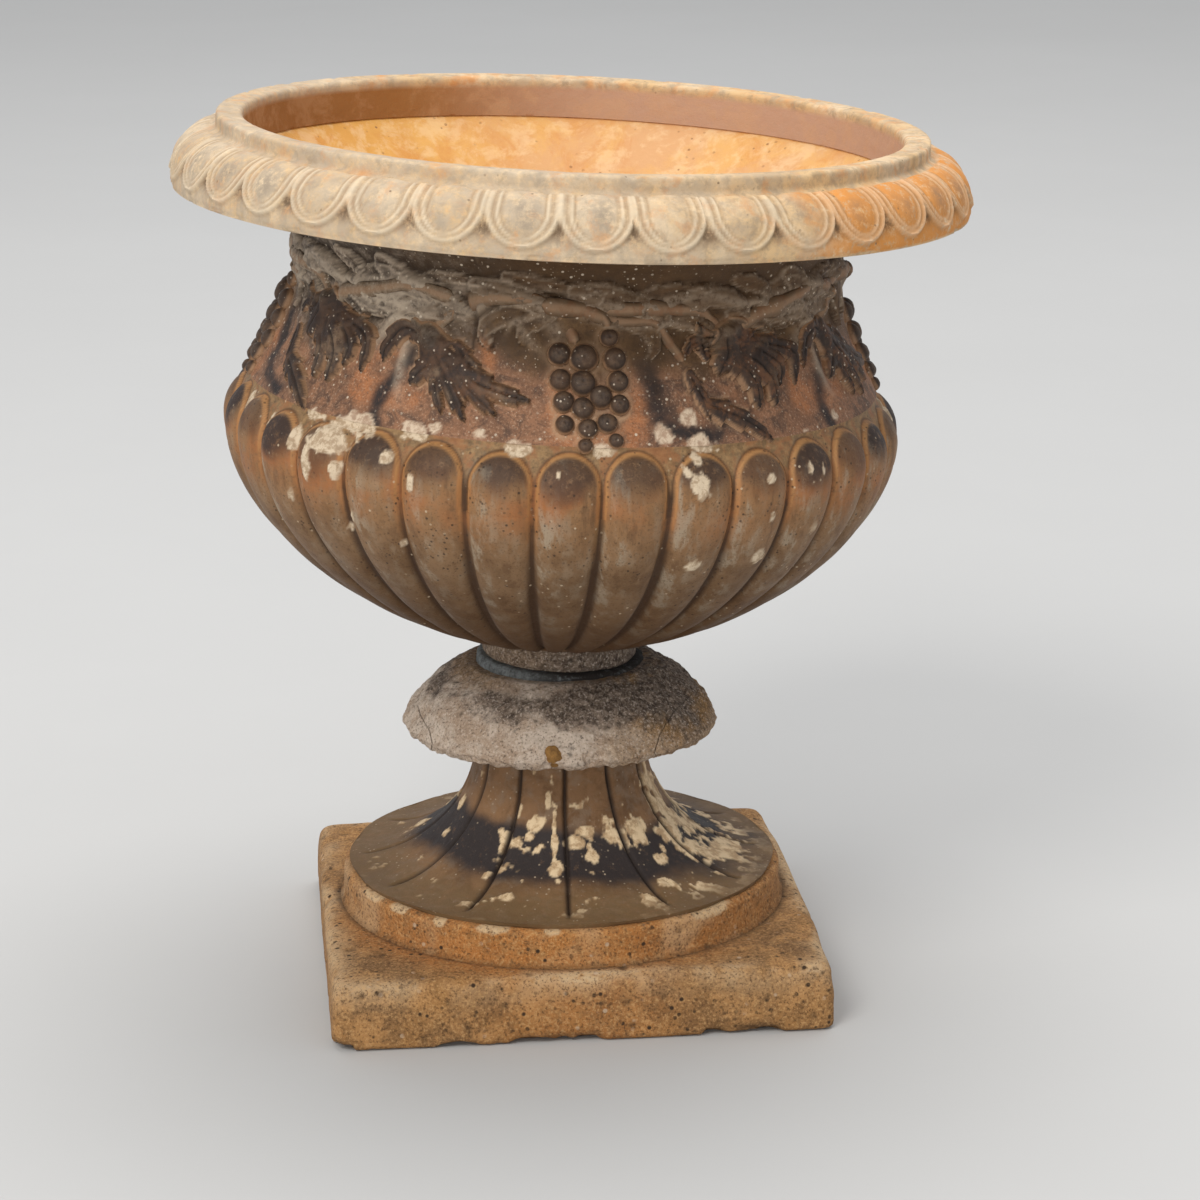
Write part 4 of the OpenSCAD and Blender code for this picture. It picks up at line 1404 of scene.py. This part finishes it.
def build_rim():
    """Rim with its lip and egg moulding."""
    drop = LIP - 14 - (RIM_LOW + 4)
    swell = RIM_R - 3 - (LIP_R + 1)
    ovolo = arc((LIP_R + 1, RIM_LOW + 4), (swell, drop), 0, 84, 24)
    under = [(RIM_R - 8, RIM_LOW + 0.4), (RIM_R - 4.5, RIM_LOW + 1.4)]
    lip = [(LIP_R, LIP - 12)] + arc((LIP_R - 3, LIP - 3.2), (3, 3), 0, 90, 5)
    lip += arc((LIP_IN_R + 4, LIP - 5), (4, 4), 90, 180, 5)
    low_wall = (LIP_IN_R - 1.5, LIP - 33.6)
    outer = under + ovolo + lip + [(LIP_IN_R, LIP - 10), low_wall]
    seat = LIP_IN_R + 4.4
    back = [low_wall, (seat, LIP - 33.6), (seat, RIM_LOW + 12.4),
            (LIP_R + 4.4, RIM_LOW + 12.4), (LIP_R + 4.4, RIM_LOW + 0.4), under[0]]

    def shape(a, r, z, face):
        p = place(a, r, z)
        u = (a - EGG_PHASE) / (2 * math.pi / EGGS)
        index = np.floor(u + 0.5)
        u = u - index + 0.012 * np.sin(index * 2.1)
        turn = np.arctan2((z - RIM_LOW - 4) / drop, np.maximum((r - LIP_R - 1) / swell, 1e-3))
        v = 1 - np.degrees(turn) / 84.0
        band = (face > 0) * (r > LIP_R + 0.5) * (z > RIM_LOW + 1.5) * step(0.0, 0.04, v)
        height, masks = egg_relief(u, v)
        height = height * (0.85 + 0.3 * noise(p, 40, 120))
        masks = {name: mask * band for name, mask in masks.items()}
        masks["smudge"] = masks["smudge"] * step(-0.2, 0.4, fbm(p, 30, 3, 129))
        worn = 0.5 * fbm(p, 30, 4, 121) + 0.3 * fbm(p, 6, 3, 123)
        low_edge = bump(z - RIM_LOW, 5) * (r > LIP_R + 20)
        top_edge = bump(z - LIP, 4) * (r > LIP_R - 6)
        chips = step(0.36, 0.6, noise(p, 14, 125)) * (low_edge + top_edge)
        moved = band * height + worn * (face > 0) - 1.6 * chips * (face > 0.02)
        moved = np.where((z > LIP - 4) | (z < RIM_LOW + 2), np.minimum(moved, 0), moved)
        moved = np.where(face < 0, 0, moved)
        inside = (face >= 0) * (r < LIP_IN_R + 1) * step(LIP - 6, LIP - 11, z)
        patchy = fbm(p, 40, 4, 127)
        masks["stain"] = (step(0.72, 0.92, facing(a, 332) + 0.16 * patchy) * band
                          + 0.7 * step(0.2, 0.5, patchy) * (z > LIP - 14) * (1 - inside))
        masks["left"] = step(-0.2, 0.7, facing(a, 205))
        masks["inside"] = inside
        # painted light inside: paler on the side that faces the key light
        masks["blush"] = step(-0.1, 0.7, facing(a, 25))
        return moved, masks

    on_bowl("rim", CREAM, *turned(outer, back, 1.75, 9, 1008, shape))


# ---------------------------------------------------------------- floor, light, camera


def build_floor():
    bpy.ops.mesh.primitive_plane_add(size=40, location=(0, 10, 0))
    floor = bpy.context.object
    floor.name = "floor"
    s = Shade("pale_floor")
    s.finish(s.mix(s.noise(800), (186, 185, 183), (192, 191, 189)), 0.8, 0.95,
             [(s.noise(4, 4), 0.2)], 0.3)
    floor.data.materials.append(s.material)


def softbox(name, where, aim, size, power, tint=(1, 1, 1)):
    light = bpy.data.lights.new(name, "AREA")
    light.shape = "DISK"
    light.size = size
    light.energy = power
    light.color = tint
    lamp = bpy.data.objects.new(name, light)
    bpy.context.collection.objects.link(lamp)
    lamp.location = where
    lamp.rotation_euler = (Vector(aim) - Vector(where)).to_track_quat("-Z", "Y").to_euler()


def build_light():
    middle = (0, 0, 0.4)
    softbox("key", (-3.0, -4.2, 5.2), middle, 3.0, 222, (1.0, 0.985, 0.955))
    softbox("fill", (-2.6, -5.2, 1.2), middle, 1.6, 58, (1.0, 0.98, 0.95))
    softbox("top", (0.6, 1.6, 6.5), middle, 5.0, 240)
    world = bpy.data.worlds.new("studio")
    bpy.context.scene.world = world
    world.use_nodes = True
    world.node_tree.nodes["Background"].inputs["Color"].default_value = (0.95, 0.97, 1.0, 1)
    world.node_tree.nodes["Background"].inputs["Strength"].default_value = 0.72


def build_camera():
    """Camera at the photograph's angle, its place worked out in widths of the plinth."""
    side = 2 * PLINTH_HALF * MM
    yaw, pitch, roll = 0.1040, 0.2757, -0.0052
    ahead = Vector((math.sin(yaw) * math.cos(pitch), math.cos(yaw) * math.cos(pitch), -math.sin(pitch)))
    right = Vector((math.cos(yaw), -math.sin(yaw), 0))
    up = right.cross(ahead)
    x = right * math.cos(roll) + up * math.sin(roll)
    y = -right * math.sin(roll) + up * math.cos(roll)
    camera = bpy.data.cameras.new("camera")
    camera.sensor_width = 36
    camera.lens = 107.17
    eye = bpy.data.objects.new("camera", camera)
    bpy.context.collection.objects.link(eye)
    turn = Matrix((x, y, -ahead)).transposed().to_4x4()
    eye.matrix_world = Matrix.Translation(Vector((-0.6454, -6.983, 2.7465)) * side) @ turn
    bpy.context.scene.camera = eye


build_camera()
build_floor()
build_light()
build_plinth()
build_foot_ring()
build_socle()
build_stem_mortar()
build_collar()
build_patch()
build_wedge()
build_bowl_foot()
build_bowl_bottom()
build_bowl_belly()
build_frieze()
build_leaves()
build_grapes()
build_stems()
build_rim()
bpy.context.scene.view_settings.view_transform = "Standard"
